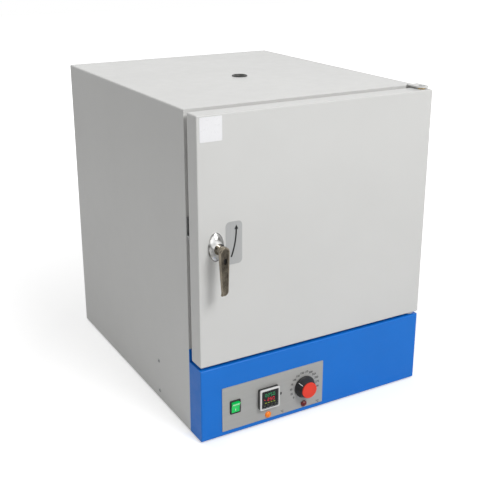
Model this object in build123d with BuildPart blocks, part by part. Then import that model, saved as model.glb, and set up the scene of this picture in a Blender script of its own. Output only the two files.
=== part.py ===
"""Bench-top laboratory drying oven: a folded steel case round an insulated steel chamber.

X runs to the right, Y into the depth and Z up, in millimetres. The origin is on the bench,
under the middle of the oven's overall width and depth.
"""

import os
from math import asin, cos, radians, sin

from build123d import *

os.makedirs("parts", exist_ok=True)

# ---- Driving dimensions (mm) ----

# Cabinet
foot_height = 4.0
sheet = 1.5  # painted steel sheet of the case, door, housing and pans
bend_radius = 3.0  # outside radius of a fold in that sheet
case_flange = 20.0  # return fold round the case's front and rear edges
fit_gap = 0.3  # between pieces that drop into each other

# Chamber, and the space left round it, which sets the size of the cabinet
chamber_width = 420.0
chamber_height = 420.0
chamber_depth = 550.0
chamber_corner = 12.0
side_space = 70.0  # from the chamber's inside to the cabinet's side
top_space = 51.0  # from the chamber's inside to the cabinet's top
floor_space = 51.0  # from the deck plate up to the chamber's floor
rear_space = 32.5  # behind the insulation, for the wiring
liner_sheet = 1.2  # stainless sheet of the liner, racks, floor plate and inner door
liner_flange = 30.0
rear_insulation = 56.0
deck_height = 168.0  # top of the deck plate that carries the chamber

# Door
door_bottom_gap = 7.0  # from the control housing's top
door_top_gap = 3.0  # below the cabinet's top
door_proud = 52.0  # from the cabinet's front plane to the door's face
door_thickness = 38.0
door_flange = 25.0
door_edge_radius = 2.5
inner_panel_inset = 8.0
plateau_margin = 10.0  # inside the chamber's mouth all round
plateau_step = 8.0
plateau_draft = 20.0  # degrees
plateau_corner = 16.0
sleeve_clearance = 2.0  # round the spindle sleeve in the skin's rear flange
seal_width = 14.0
seal_offset = 15.0  # from the chamber's mouth to the middle of the seal
seal_corner = 12.0
seal_rounding = 4.2

# Hinges
hinge_inset = 15.0  # from the cabinet's right side to the hinge axis
hinge_axis_back = 19.0  # from the door's face to the hinge axis
pin_radius = 4.0
pin_length = 20.0
pin_head_radius = 6.5
pin_head = 1.4
running_fit = 0.05  # radial clearance of a shaft in its bore
bush_radius = 6.0
bush_flange_radius = 8.0
bush_flange = 1.7
bush_length = 24.0
leaf_thickness = 3.0
leaf_radius = 14.0  # half the leaf's width, and its rounded end
leaf_drop = 50.0
leaf_corner = 5.0
leaf_bend = 2.4
hinge_gap_top = 3.0  # from the door's top to the upper leaf
hinge_gap_bottom = 2.0  # from the lower leaf to the door's bottom
hinge_screw_pitch = 20.0
hinge_screw_edge = 15.0

# Door handle and latch
handle_inset = 37.0  # from the cabinet's left side
handle_drop = 1.0  # below the chamber's middle
rose_half_width = 16.5
rose_half_height = 29.0
rose_rim = 3.0
rose_height = 16.0
rose_edge_side = 1.0  # step from the rim to the boss
rose_edge_end = 1.5
rose_waist = 0.6  # share of the boss's height at which it narrows
rose_waist_half_width = 14.0
rose_waist_half_height = 17.98
rose_nose_radius = 11.5
lever_face = 40.0  # from the door's face to the lever's face at its head
lever_flare = 4.0  # how far the tip stands out beyond the head
lever_head_radius = 12.5
lever_length = 86.0
lever_tip_radius = 6.5
lever_head_thickness = 11.0
lever_tip_thickness = 6.5
lever_hollow = 2.86  # how far the lever's back is drawn in at half its length
lever_bulge = 0.2
lever_edge = 2.0
lever_neck_radius = 9.0
neck_wall = 5.0  # from the neck's front to the lever's face
spindle_wall = 6.0  # from the spindle's bore to the lever's face
key_slot_drop = 17.0
key_slot_length = 9.0
key_slot_width = 5.0
key_slot_depth = 5.0
spindle_radius = 5.0
sleeve_radius = 8.0
tongue_length = 30.0
tongue_thickness = 3.0
tongue_half_width = 5.0
tongue_hub_radius = 8.5
tongue_nose = 3.0
tongue_gap = 5.0  # from the cabinet's front plane to the tongue
nut_thickness = 3.5
nut_across_flats = 12.0
keeper_plate = 2.0
keeper_lip = 2.5
keeper_lip_drop = 8.7
keeper_clearance = 0.8  # from the tongue up to the lip while the lever hangs straight
keeper_height = 46.0
keeper_outer_edge = 1.0  # from the cabinet's left side
keeper_inner_edge = 20.0
keeper_reach = 0.5  # from the tongue forward to the lip
keeper_screw_rises = (10.0, 26.0)  # above the lip's top
lip_width = 17.0

# Control housing, as wide as the cabinet, in front of its lower bay
housing_drop = 1.0  # from the deck plate's top down to the housing's top
upstand_height = 28.0
housing_edge_radius = 3.0

# Control plate and what it holds, by place on the housing's face
plate_width = 250.0
plate_height = 101.0
plate_inset = 47.5  # from the cabinet's left side
plate_z = 65.5
plate_thickness = 1.5
plate_corner = 1.5
switch_along = 30.2  # from the plate's left edge, as for the controls below
switch_z = 67.2
switch_width = 25.0
switch_height = 31.0
switch_bezel = 2.4
switch_bezel_side = 1.5
switch_corner = 2.0
switch_edge = 0.8
switch_body_depth = 20.0
rocker_width = 18.5
rocker_half = 11.6
rocker_angle = 11.0  # each side of the middle
rocker_pivot_depth = 3.0
rocker_well_ends = 1.2
rocker_well_depth = 14.0
rocker_side_gap = 0.3
rocker_shoulder = 2.0  # behind the pivot
rocker_keel = 6.0
rocker_keel_half = 5.0
blade_width = 6.3
blade_thickness = 0.8
blade_length = 8.0
blade_pitch = 9.0
controller_along = 109.7
controller_z = 67.0
controller_size = 48.0
controller_collar = 7.0
collar_inset = 0.5
controller_bezel = 3.0
controller_rim = 4.8
controller_corner = 3.0
bezel_edge = 1.2
window_corner = 1.5
window_gap = 0.1
pocket_depth_behind = 3.0  # behind the window, for the keys
controller_barrel = 44.0
controller_depth = 90.0
window_thickness = 1.5
window_sink = 0.8
key_columns = 4
key_pitch = 9.0
key_width = 7.0
key_height = 4.6
key_travel = 0.6
key_drop = 13.6
key_back = 0.8  # behind the window's back
key_corner = 0.8
key_edge = 0.3
dial_along = 202.0
dial_z = 66.0
knob_radius = 25.0
knob_height = 18.0
knob_stand_off = 1.0
knob_rim = 3.0
knob_shoulder = 1.4
knob_shoulder_depth = 2.0
knob_lip = 1.0
knob_lip_depth = 2.0
knob_neck_radius = 18.6
knob_wall = 2.5
knob_hub_radius = 16.0
knob_socket = 12.0
cap_radius = 18.0
cap_thickness = 3.2
cap_edge = 1.2
dial_shaft_radius = 3.0
shaft_end_gap = 1.0
thermostat_width = 44.0
thermostat_height = 38.0
thermostat_depth = 26.0
thermostat_neck_radius = 5.0
thermostat_corner = 3.0
lamp_radius = 7.2
lamp_barrel_radius = 5.4
lamp_dome = 4.0
lamp_rim = 1.6
lamp_body_length = 26.0
amber_along = 110.1
red_along = 201.1
lamp_z = 24.3

# Labels
latch_label_width = 36.0
latch_label_height = 88.0
latch_label_beside = 40.5  # from the handle's axis
latch_label_rise = 1.5
latch_label_corner = 9.0
label_thickness = 0.5

# Vent in the top
vent_depth = 285.0  # from the cabinet's front plane
vent_bore_radius = 13.0
vent_wall = 1.0
vent_rise = 1.2
vent_collar_radius = 17.5
vent_collar_height = 2.4

# Chamber furniture
rack_height = 330.0
rack_front = 20.0  # from the cabinet's front plane to the rack
rack_rear_gap = 40.0  # from the rack to the chamber's back
rack_foot = 20.0  # below the lowest ledge
lowest_ledge = 60.0  # above the chamber's floor
rack_levels = 6
rack_pitch = 55.0
ledge = 12.0
shelf_side_gap = 2.0
shelf_end_gap = 10.0  # from each end of the rack
shelf_corner = 12.0
shelf_rod_radius = 3.0
shelf_wire_radius = 1.6
shelf_wires = 17
shelf_levels = (1, 3)  # counted from the lowest ledge
floor_plate_rise = 34.0
floor_plate_margin = 14.0  # from each chamber wall, clear of its rounded corner
floor_slot_length = 50.0
floor_slot_width = 6.0
floor_slots = 5  # each way
element_radius = 4.0
element_rise = 17.0
element_leg_inner = 55.0
element_leg_outer = 145.0
element_front = 60.0
element_bend = 32.0
element_tail = 20.0  # out of the insulation's back
bush_ring_radius = 9.0
bush_ring_length = 12.0
probe_rear_gap = 20.0  # from the chamber's back
probe_side_gap = 15.0  # from the chamber's left wall
bulb_side_gap = 32.0
probe_tail = 25.0  # below the deck plate
probe_nut_radius = 6.5
probe_nut = 5.0
probe_radius = 3.0
bulb_radius = 3.4
bulb_length = 90.0
capillary_radius = 1.0
capillary_bend = 22.0
capillary_drop = 38.0  # below the deck plate
capillary_turn = 330.0  # from the cabinet's front plane, where it heads for the dial
capillary_fall = 120.0
capillary_foot = 30.0
capillary_rise = 4.0  # above the dial's axis, where it enters the thermostat
capillary_socket = 4.0
probe_reach = 111.0  # above the chamber's floor

# Back, base and bay
rear_screw_inset = 11.0
rear_screw_heights = (45.0, 250.0, 455.0, 660.0)
louvre_width = 40.0
louvre_height = 3.5
louvre_columns = 6
louvre_rows = 5
louvre_row_pitch = 9.0
louvre_bridge = 12.0  # between louvres in a row
louvre_x = -50.0
gland_inset = 80.0  # from the cabinet's right side
gland_z = 60.0
gland_bore_radius = 4.5
gland_reach = 24.0
gland_thread_radius = 8.0
gland_hex = 24.0
gland_hex_length = 7.0
gland_nose_radius = 10.5
gland_nose_edge = 4.0
gland_inside = 10.0
gland_nut = 4.0
gland_nut_step = 1.0
pan_flange = 20.0
foot_radius = 17.0
foot_inset = 45.0
tray_front = 140.0
tray_depth = 240.0
tray_height = 12.0
tray_ear = 30.0
tray_ear_top = 112.0
block_behind = 180.0  # from the tray's front to the terminal block's middle
block_beside = 40.0  # to the left of the gland
block_width = 72.0
block_depth = 22.0
block_height = 22.0
terminal_radius = 3.0
terminal_depth = 9.0
terminal_pitch = 11.0
terminal_row_pitch = 10.0
terminals = 6
relay_behind = 150.0
relay_width = 58.0
relay_depth = 44.0
relay_height = 26.0
relay_edge = 2.0
side_screw_depth = 155.0
side_screw_heights = (24.0, 98.0)
side_screw_head = 1.5

# Small fasteners
screw_head_radius = 4.5
screw_head_height = 2.2
screw_stem_radius = 2.0
screw_hole_radius = 2.3
screw_rounding = 0.45  # share of the head's height
screw_end = 4.0  # past the last sheet that a case screw holds
front_screw_end = 3.0

# ---- Places worked out from them ----

cabinet_width = chamber_width + 2 * side_space
cabinet_depth = fit_gap + chamber_depth + liner_sheet + rear_insulation + rear_space
chamber_floor = deck_height + floor_space
cabinet_top = chamber_floor + chamber_height + top_space
housing_top = deck_height - housing_drop
door_bottom = housing_top + door_bottom_gap
door_top = cabinet_top - door_top_gap
half_width = cabinet_width / 2
handle_reach = lever_face + lever_flare
overall_depth = handle_reach + door_proud + cabinet_depth + gland_reach
y_front = -overall_depth / 2 + handle_reach + door_proud  # cabinet's front plane
y_face = y_front - door_proud  # face of the door and of the control housing
y_back = y_front + cabinet_depth
y_door_back = y_face + door_thickness
y_plate = y_face - plate_thickness
frame_front = y_front + sheet
frame_back = frame_front + sheet
liner_back = y_front + fit_gap + chamber_depth
chamber_middle = chamber_floor + chamber_height / 2
chamber_ceiling = chamber_floor + chamber_height
insulation_back = liner_back + liner_sheet + rear_insulation
case_bottom = foot_height
pan_top = case_bottom + 2 * sheet
handle_x = -half_width + handle_inset
handle_z = chamber_middle - handle_drop
latch_label_x = handle_x + latch_label_beside
latch_label_z = handle_z + latch_label_rise
plate_left = -half_width + plate_inset
plate_x = plate_left + plate_width / 2
switch_x = plate_left + switch_along
controller_x = plate_left + controller_along
dial_x = plate_left + dial_along
amber_x = plate_left + amber_along
red_x = plate_left + red_along
gland_x = half_width - gland_inset
hinge_x = half_width - hinge_inset
hinge_y = y_face + hinge_axis_back
vent_y = y_front + vent_depth
vent_tube_radius = vent_bore_radius + vent_wall
chamber_wall_x = chamber_width / 2
tongue_front = y_front - tongue_gap - tongue_thickness
tongue_back = y_front - tongue_gap
thermostat_front = y_face + sheet
rack_face = chamber_wall_x - fit_gap - liner_sheet
rack_depth = chamber_depth - rack_front - rack_rear_gap
shelf_depth = rack_depth - 2 * shelf_end_gap
first_ledge = chamber_floor + lowest_ledge
probe_x = -chamber_wall_x + probe_side_gap
bulb_x = -chamber_wall_x + bulb_side_gap
probe_y = liner_back - fit_gap - probe_rear_gap
probe_top = chamber_floor + probe_reach
capillary_z = deck_height - capillary_drop


def facing_front(y, x=0.0, z=0.0):
    """Upright plane at depth y: local x is +X, local y is +Z, and it extrudes to the front."""
    return Plane(origin=(x, y, z), x_dir=(1, 0, 0), z_dir=(0, -1, 0))


def facing(x, y, z, direction):
    """Plane at a point, square to a direction."""
    return Plane(origin=(x, y, z), z_dir=direction)


def corner_rect(x_low, x_high, y_low, y_high, mode=Mode.ADD):
    """Rectangle given by its edges."""
    with Locations(((x_low + x_high) / 2, (y_low + y_high) / 2)):
        return Rectangle(x_high - x_low, y_high - y_low, mode=mode)


def save(builder, name):
    """Label a finished piece and write it."""
    builder.part.label = name
    export_step(builder.part, f"parts/{name}.step")


def pan_screws(seats, stem_length, head_height=screw_head_height, head_radius=screw_head_radius):
    """Pan-head screws, one on each seat plane; a seat's normal points out of the head."""
    with BuildPart() as screws:
        with BuildSketch(*seats):
            Circle(head_radius)
        extrude(amount=head_height)
        tops = [face for seat in seats for face in screws.faces() if on_plane(face, seat, head_height)]
        fillet([edge for face in tops for edge in face.edges()], head_height * screw_rounding)
        with BuildSketch(*seats):
            Circle(screw_stem_radius)
        extrude(amount=-stem_length)
    return screws


def on_plane(face, seat, height):
    """True for a flat face that lies this height above the seat."""
    reach = (face.center() - seat.origin).dot(seat.z_dir)
    return face.geom_type == GeomType.PLANE and abs(reach - height) < 0.01


# ---- Case ----


def case_section(inset, bottom):
    """Section of the case across its depth, inset from the outside, open or closed at the bottom."""
    with BuildSketch() as section:
        corner_rect(-half_width + inset, half_width - inset, bottom, cabinet_top - inset)
        fillet(section.vertices().group_by(Axis.Y)[-1], bend_radius - inset)
    return section.sketch


def case_return(width):
    """Inward return fold of the case: its section less the opening that it leaves."""
    with BuildSketch() as section:
        add(case_section(0, case_bottom))
        corner_rect(-half_width + width, half_width - width, 0, cabinet_top - width, Mode.SUBTRACT)
    return section.sketch


rear_seats = [
    facing(x, y_back, z, (0, 1, 0))
    for x in (-half_width + rear_screw_inset, half_width - rear_screw_inset)
    for z in rear_screw_heights
]
side_seats = [
    facing(side * half_width, y_front + side_screw_depth, z, (side, 0, 0))
    for side in (-1, 1)
    for z in side_screw_heights
]
upper_leaf_bottom = door_top + hinge_gap_top
upper_leaf_top = upper_leaf_bottom + leaf_thickness
lower_leaf_top = door_bottom - hinge_gap_bottom
lower_leaf_bottom = lower_leaf_top - leaf_thickness
upper_screw_zs = [upper_leaf_top - leaf_drop + hinge_screw_edge + n * hinge_screw_pitch for n in (0, 1)]
lower_screw_zs = [lower_leaf_bottom + leaf_drop - hinge_screw_edge - n * hinge_screw_pitch for n in (0, 1)]
upper_leaf_back = y_front
lower_leaf_back = y_front - sheet
upper_hinge_seats = [
    facing(hinge_x, upper_leaf_back - leaf_thickness, z, (0, -1, 0)) for z in upper_screw_zs
]
lower_hinge_seats = [
    facing(hinge_x, lower_leaf_back - leaf_thickness, z, (0, -1, 0)) for z in lower_screw_zs
]
lip_bottom = handle_z + tongue_half_width + keeper_clearance
lip_top = lip_bottom + keeper_lip_drop
keeper_top = lip_top + keeper_height - keeper_lip_drop
keeper_outer_x = -half_width + keeper_outer_edge
keeper_x = (keeper_outer_x - half_width + keeper_inner_edge) / 2
keeper_seats = [
    facing(keeper_x, y_front - keeper_plate, lip_top + rise, (0, -1, 0)) for rise in keeper_screw_rises
]

with BuildPart() as case:
    with BuildSketch(facing_front(y_back)):
        add(case_section(0, case_bottom))
        add(case_section(sheet, 0), mode=Mode.SUBTRACT)
    extrude(amount=cabinet_depth)
    with BuildSketch(facing_front(y_front + sheet)):
        add(case_return(case_flange))
    extrude(amount=sheet)
    with BuildSketch(facing_front(y_back - sheet)):
        add(case_return(case_flange))
    extrude(amount=sheet)
    with BuildSketch(Plane.XY.offset(case_bottom)):
        for side in (-1, 1):
            edges = sorted((side * half_width, side * (half_width - case_flange)))
            corner_rect(*edges, y_front, y_back - sheet)
    extrude(amount=sheet)
    with BuildSketch(Plane.XY.offset(cabinet_top - sheet)):
        with Locations((0, vent_y)):
            Circle(vent_tube_radius + fit_gap)
    extrude(amount=sheet, mode=Mode.SUBTRACT)
    with BuildSketch(*side_seats):
        Circle(screw_hole_radius)
    extrude(amount=-sheet, mode=Mode.SUBTRACT)
    with BuildSketch(*[facing(s.origin.X, y_back, s.origin.Z, (0, 1, 0)) for s in rear_seats]):
        Circle(screw_hole_radius)
    extrude(amount=-3 * sheet, mode=Mode.SUBTRACT)
    front_seats = upper_hinge_seats + lower_hinge_seats + keeper_seats
    with BuildSketch(*[facing(s.origin.X, y_front, s.origin.Z, (0, -1, 0)) for s in front_seats]):
        Circle(screw_hole_radius)
    extrude(amount=-sheet, mode=Mode.SUBTRACT)
save(case, "case")

with BuildPart() as rear_panel:
    with BuildSketch(facing_front(y_back)):
        add(case_section(sheet + fit_gap, case_bottom + sheet + fit_gap))
    extrude(amount=sheet)
    with BuildSketch(*rear_seats):
        Circle(screw_hole_radius)
    extrude(amount=-sheet, mode=Mode.SUBTRACT)
    with BuildSketch(facing_front(y_back)):
        with Locations((gland_x, gland_z)):
            Circle(gland_thread_radius + fit_gap)
        with Locations((louvre_x, gland_z)):
            with GridLocations(louvre_width + louvre_bridge, louvre_row_pitch, louvre_columns, louvre_rows):
                SlotOverall(louvre_width, louvre_height)
    extrude(amount=sheet, mode=Mode.SUBTRACT)
save(rear_panel, "rear_panel")

save(pan_screws(rear_seats, 2.5 * sheet + screw_end), "rear_panel_screws")
save(pan_screws(side_seats, 2 * sheet + screw_end, side_screw_head), "side_screws")

# ---- Base pan and feet ----

pan_edge = half_width - sheet - fit_gap
with BuildPart() as base_pan:
    with BuildSketch(Plane.XY.offset(case_bottom + sheet)):
        corner_rect(-pan_edge, pan_edge, frame_back, y_back - 2 * sheet - fit_gap)
    extrude(amount=sheet)
    for y in (frame_back + sheet, y_back - 2 * sheet - fit_gap):
        with BuildSketch(facing_front(y)):
            corner_rect(-pan_edge, pan_edge, pan_top, pan_top + pan_flange)
        extrude(amount=sheet)
    outer_folds = base_pan.edges().filter_by(Axis.X).group_by(Axis.Z)[0]
    fillet(outer_folds, sheet * 0.8)
save(base_pan, "base_pan")

foot_places = [
    (side * (half_width - foot_inset), y)
    for side in (-1, 1)
    for y in (y_front + foot_inset, y_back - foot_inset)
]
with BuildPart() as feet:
    with BuildSketch():
        with Locations(*foot_places):
            Circle(foot_radius)
    extrude(amount=case_bottom + sheet, taper=6)
    with BuildSketch():
        with Locations(*foot_places):
            Circle(foot_radius / 2)
    extrude(amount=foot_height / 2, mode=Mode.SUBTRACT)
save(feet, "feet")

# ---- Chamber: front frame, liner, insulation, deck ----

with BuildPart() as front_frame:
    with BuildSketch(facing_front(frame_back)):
        add(case_section(sheet + fit_gap, deck_height))
        with Locations((0, chamber_middle)):
            opening = 2 * (liner_sheet + fit_gap)
            RectangleRounded(
                chamber_width + opening,
                chamber_height + opening,
                chamber_corner + liner_sheet + fit_gap,
                mode=Mode.SUBTRACT,
            )
    extrude(amount=sheet)
    holes = [facing(s.origin.X, frame_front, s.origin.Z, (0, -1, 0)) for s in front_seats]
    with BuildSketch(*holes):
        Circle(screw_hole_radius)
    extrude(amount=-sheet, mode=Mode.SUBTRACT)
save(front_frame, "front_frame")

element_ends = [
    facing(side * leg, liner_back, chamber_floor + element_rise, (0, 1, 0))
    for side in (-1, 1)
    for leg in (element_leg_inner, element_leg_outer)
]
probe_seats = [
    facing(probe_x, probe_y, deck_height, (0, 0, 1)),
    facing(bulb_x, probe_y, deck_height, (0, 0, 1)),
]
probe_hole_radius = bulb_radius + fit_gap


def chamber_outline(grow, y):
    """The chamber's rounded outline at depth y, grown outwards from its inside."""
    with BuildSketch(facing_front(y, z=chamber_middle)) as outline:
        RectangleRounded(
            chamber_width + 2 * grow, chamber_height + 2 * grow, chamber_corner + grow
        )
    return outline.sketch


with BuildPart() as chamber_liner:
    extrude(chamber_outline(liner_sheet, liner_back + liner_sheet), amount=chamber_depth + liner_sheet)
    extrude(chamber_outline(liner_flange, y_front + fit_gap + liner_sheet), amount=liner_sheet)
    extrude(chamber_outline(0, liner_back), amount=chamber_depth, mode=Mode.SUBTRACT)
    with BuildSketch(Plane.XY.offset(chamber_ceiling)):
        with Locations((0, vent_y)):
            Circle(vent_tube_radius + fit_gap)
    extrude(amount=liner_sheet, mode=Mode.SUBTRACT)
    with BuildSketch(*element_ends):
        Circle(element_radius + fit_gap)
    extrude(amount=liner_sheet, mode=Mode.SUBTRACT)
    with BuildSketch(Plane.XY.offset(chamber_floor - liner_sheet)):
        with Locations(*[(seat.origin.X, seat.origin.Y) for seat in probe_seats]):
            Circle(probe_hole_radius)
    extrude(amount=liner_sheet, mode=Mode.SUBTRACT)
save(chamber_liner, "chamber_liner")

with BuildPart() as chamber_insulation:
    with BuildSketch(facing_front(insulation_back)):
        edge = 2 * sheet + fit_gap
        corner_rect(-half_width + edge, half_width - edge, deck_height, cabinet_top - edge)
    extrude(amount=insulation_back - frame_back)
    pocket = liner_sheet + fit_gap
    pocket_depth = liner_back + pocket - frame_back
    extrude(chamber_outline(pocket, liner_back + pocket), amount=pocket_depth, mode=Mode.SUBTRACT)
    with BuildSketch(Plane.XY.offset(chamber_ceiling)):
        with Locations((0, vent_y)):
            Circle(vent_tube_radius + fit_gap)
    extrude(amount=cabinet_top - chamber_ceiling, mode=Mode.SUBTRACT)
    with BuildSketch(*element_ends):
        Circle(element_radius + fit_gap)
    extrude(amount=rear_insulation + 2 * liner_sheet, mode=Mode.SUBTRACT)
    with BuildSketch(*probe_seats):
        Circle(probe_hole_radius)
    extrude(amount=chamber_floor - deck_height, mode=Mode.SUBTRACT)
    front_screw_holes = [facing(s.origin.X, frame_back, s.origin.Z, (0, 1, 0)) for s in front_seats]
    with BuildSketch(*front_screw_holes):
        Circle(screw_hole_radius)
    extrude(amount=10.0, mode=Mode.SUBTRACT)
save(chamber_insulation, "chamber_insulation")

with BuildPart() as deck_plate:
    with BuildSketch(Plane.XY.offset(deck_height - sheet)):
        corner_rect(-pan_edge, pan_edge, frame_front, y_back - 2 * sheet - fit_gap)
    extrude(amount=sheet)
    for side in (-1, 1):
        with BuildSketch(Plane.XY.offset(deck_height - sheet)):
            edges = sorted((side * pan_edge, side * (pan_edge - sheet)))
            corner_rect(*edges, frame_front, y_back - 2 * sheet - fit_gap)
        extrude(amount=-pan_flange)
    with BuildSketch(*probe_seats):
        Circle(probe_hole_radius)
    extrude(amount=-sheet, mode=Mode.SUBTRACT)
save(deck_plate, "deck_plate")

with BuildPart() as vent_tube:
    with BuildSketch(Plane.XY.offset(chamber_ceiling)):
        with Locations((0, vent_y)):
            Circle(vent_tube_radius)
            Circle(vent_bore_radius, mode=Mode.SUBTRACT)
    extrude(amount=cabinet_top + vent_rise - chamber_ceiling)
save(vent_tube, "vent_tube")

with BuildPart() as vent_collar:
    with BuildSketch(Plane.XY.offset(cabinet_top)):
        with Locations((0, vent_y)):
            Circle(vent_collar_radius)
            Circle(vent_tube_radius, mode=Mode.SUBTRACT)
    extrude(amount=vent_collar_height)
    fillet(vent_collar.edges().filter_by(GeomType.CIRCLE).group_by(Axis.Z)[-1], vent_collar_height * 0.4)
save(vent_collar, "vent_collar")

# ---- Chamber furniture ----

for side, name in ((-1, "rack_left"), (1, "rack_right")):
    with BuildPart() as rack:
        wall = sorted((side * (chamber_wall_x - fit_gap), side * rack_face))
        with BuildSketch(Plane.XY.offset(first_ledge - rack_foot)):
            corner_rect(*wall, y_front + rack_front, y_front + rack_front + rack_depth)
        extrude(amount=rack_height)
        reach = sorted((side * rack_face, side * (rack_face - ledge)))
        for level in range(rack_levels):
            with BuildSketch(Plane.XY.offset(first_ledge + level * rack_pitch)):
                corner_rect(*reach, y_front + rack_front, y_front + rack_front + rack_depth)
            extrude(amount=-liner_sheet)
    save(rack, name)

shelf_half = rack_face - shelf_side_gap
shelf_front = y_front + rack_front + shelf_end_gap
for level, name in zip(shelf_levels, ("shelf_lower", "shelf_upper")):
    rod_z = first_ledge + level * rack_pitch + shelf_rod_radius + fit_gap
    inner = shelf_half - shelf_rod_radius
    with BuildPart() as shelf:
        corners = [
            (-inner, shelf_front + shelf_rod_radius),
            (inner, shelf_front + shelf_rod_radius),
            (inner, shelf_front + shelf_depth - shelf_rod_radius),
            (-inner, shelf_front + shelf_depth - shelf_rod_radius),
        ]
        with BuildLine(Plane.XY.offset(rod_z)) as rim_line:
            rim = FilletPolyline(*corners, radius=shelf_corner, close=True)
        with BuildSketch(Plane(origin=rim @ 0, z_dir=rim % 0)):
            Circle(shelf_rod_radius)
        sweep(path=rim_line.line)
        pitch = 2 * inner / (shelf_wires + 1)
        wire_seats = [
            facing(-inner + (n + 1) * pitch, shelf_front + shelf_rod_radius, rod_z, (0, 1, 0))
            for n in range(shelf_wires)
        ]
        with BuildSketch(*wire_seats):
            Circle(shelf_wire_radius)
        extrude(amount=shelf_depth - 2 * shelf_rod_radius)
    save(shelf, name)

plate_front = y_front + rack_front
floor_plate_width = chamber_width - 2 * floor_plate_margin
with BuildPart() as floor_plate:
    half = floor_plate_width / 2
    with BuildSketch(Plane.XY.offset(chamber_floor + floor_plate_rise)):
        corner_rect(-half, half, plate_front, plate_front + rack_depth)
        with Locations((0, plate_front + rack_depth / 2)):
            pitches = (floor_plate_width / (floor_slots + 1), rack_depth / (floor_slots + 1))
            with GridLocations(*pitches, floor_slots, floor_slots):
                SlotOverall(floor_slot_length, floor_slot_width, mode=Mode.SUBTRACT)
    extrude(amount=-liner_sheet)
    for side in (-1, 1):
        with BuildSketch(Plane.XY.offset(chamber_floor + floor_plate_rise)):
            edges = sorted((side * half, side * (half - liner_sheet)))
            corner_rect(*edges, plate_front, plate_front + rack_depth)
        extrude(amount=-(floor_plate_rise - fit_gap))
save(floor_plate, "floor_plate")

with BuildPart() as heating_elements:
    for side in (-1, 1):
        legs = (side * element_leg_inner, side * element_leg_outer)
        tail = insulation_back + element_tail
        path_points = [
            (legs[0], tail),
            (legs[0], y_front + element_front),
            (legs[1], y_front + element_front),
            (legs[1], tail),
        ]
        with BuildLine(Plane.XY.offset(chamber_floor + element_rise)) as element_line:
            FilletPolyline(*path_points, radius=element_bend)
        start = (legs[0], tail, chamber_floor + element_rise)
        with BuildSketch(Plane(origin=start, z_dir=(0, -1, 0))):
            Circle(element_radius)
        sweep(path=element_line.line)
save(heating_elements, "heating_elements")

with BuildPart() as element_bushes:
    rings = [facing(s.origin.X, insulation_back, s.origin.Z, (0, 1, 0)) for s in element_ends]
    with BuildSketch(*rings):
        Circle(bush_ring_radius)
        Circle(element_radius + running_fit, mode=Mode.SUBTRACT)
    extrude(amount=bush_ring_length)
save(element_bushes, "element_bushes")

with BuildPart() as temperature_probe:
    with BuildSketch(facing(probe_x, probe_y, deck_height - probe_tail, (0, 0, 1))):
        Circle(probe_radius)
    extrude(amount=probe_top - deck_height + probe_tail)
    fillet(temperature_probe.edges().group_by(Axis.Z)[-1], probe_radius * 0.6)
    with BuildSketch(facing(probe_x, probe_y, deck_height - sheet, (0, 0, -1))):
        RegularPolygon(probe_nut_radius, 6)
    extrude(amount=probe_nut)
save(temperature_probe, "temperature_probe")

# Sensing bulb in the chamber, and its capillary down through the deck and forward to the thermostat
capillary_entry = thermostat_front + thermostat_depth
with BuildPart() as thermostat_bulb:
    with BuildLine() as capillary_line:
        FilletPolyline(
            (bulb_x, probe_y, probe_top - bulb_length),
            (bulb_x, probe_y, capillary_z),
            (bulb_x, y_front + capillary_turn, capillary_z),
            (dial_x, y_front + capillary_fall, capillary_z),
            (dial_x, y_front + capillary_foot, dial_z + capillary_rise),
            (dial_x, capillary_entry, dial_z + capillary_rise),
            radius=capillary_bend,
        )
    with BuildSketch(facing(bulb_x, probe_y, probe_top - bulb_length, (0, 0, -1))):
        Circle(capillary_radius)
    sweep(path=capillary_line.line)
    with BuildSketch(facing(bulb_x, probe_y, probe_top - bulb_length, (0, 0, 1))):
        Circle(bulb_radius)
    extrude(amount=bulb_length)
save(thermostat_bulb, "thermostat_bulb")

# ---- Control housing and plate ----


def control_cutouts(switch_gap, barrel_gap):
    """Holes that the switch, controller, lamps and thermostat pass through."""
    with BuildSketch() as cutouts:
        with Locations((switch_x, switch_z)):
            neck_width = switch_width - 2 * switch_bezel_side
            neck_height = switch_height - 2 * switch_bezel_side
            Rectangle(neck_width + switch_gap, neck_height + switch_gap)
        with Locations((controller_x, controller_z)):
            Rectangle(controller_barrel + barrel_gap, controller_barrel + barrel_gap)
        with Locations((amber_x, lamp_z), (red_x, lamp_z)):
            Circle(lamp_barrel_radius + fit_gap)
        with Locations((dial_x, dial_z)):
            Circle(thermostat_neck_radius + fit_gap)
    return cutouts.sketch


with BuildPart() as control_housing:
    with BuildSketch(facing_front(y_front)):
        corner_rect(-half_width, half_width, case_bottom, housing_top)
    extrude(amount=door_proud)
    face_edges = control_housing.faces().sort_by(Axis.Y)[0].edges()
    fillet(face_edges, housing_edge_radius)
    offset(amount=-sheet, openings=control_housing.faces().sort_by(Axis.Y)[-1], mode=Mode.REPLACE)
    with BuildSketch(facing_front(y_front)):
        corner_rect(-half_width, half_width, housing_top - sheet, housing_top + upstand_height)
    extrude(amount=sheet)
    with BuildSketch(facing_front(y_face + sheet)):
        add(control_cutouts(2 * fit_gap, 2 * fit_gap))
    extrude(amount=sheet, mode=Mode.SUBTRACT)
    with BuildSketch(*[facing(hinge_x, y_front, z, (0, -1, 0)) for z in lower_screw_zs]):
        Circle(screw_hole_radius)
    extrude(amount=sheet, mode=Mode.SUBTRACT)
save(control_housing, "control_housing")

with BuildPart() as control_plate:
    with BuildSketch(facing_front(y_face)):
        with Locations((plate_x, plate_z)):
            RectangleRounded(plate_width, plate_height, plate_corner)
        add(control_cutouts(2 * fit_gap, 2 * fit_gap), mode=Mode.SUBTRACT)
    extrude(amount=plate_thickness)
save(control_plate, "control_plate")

# ---- Rocker switch ----

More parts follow.
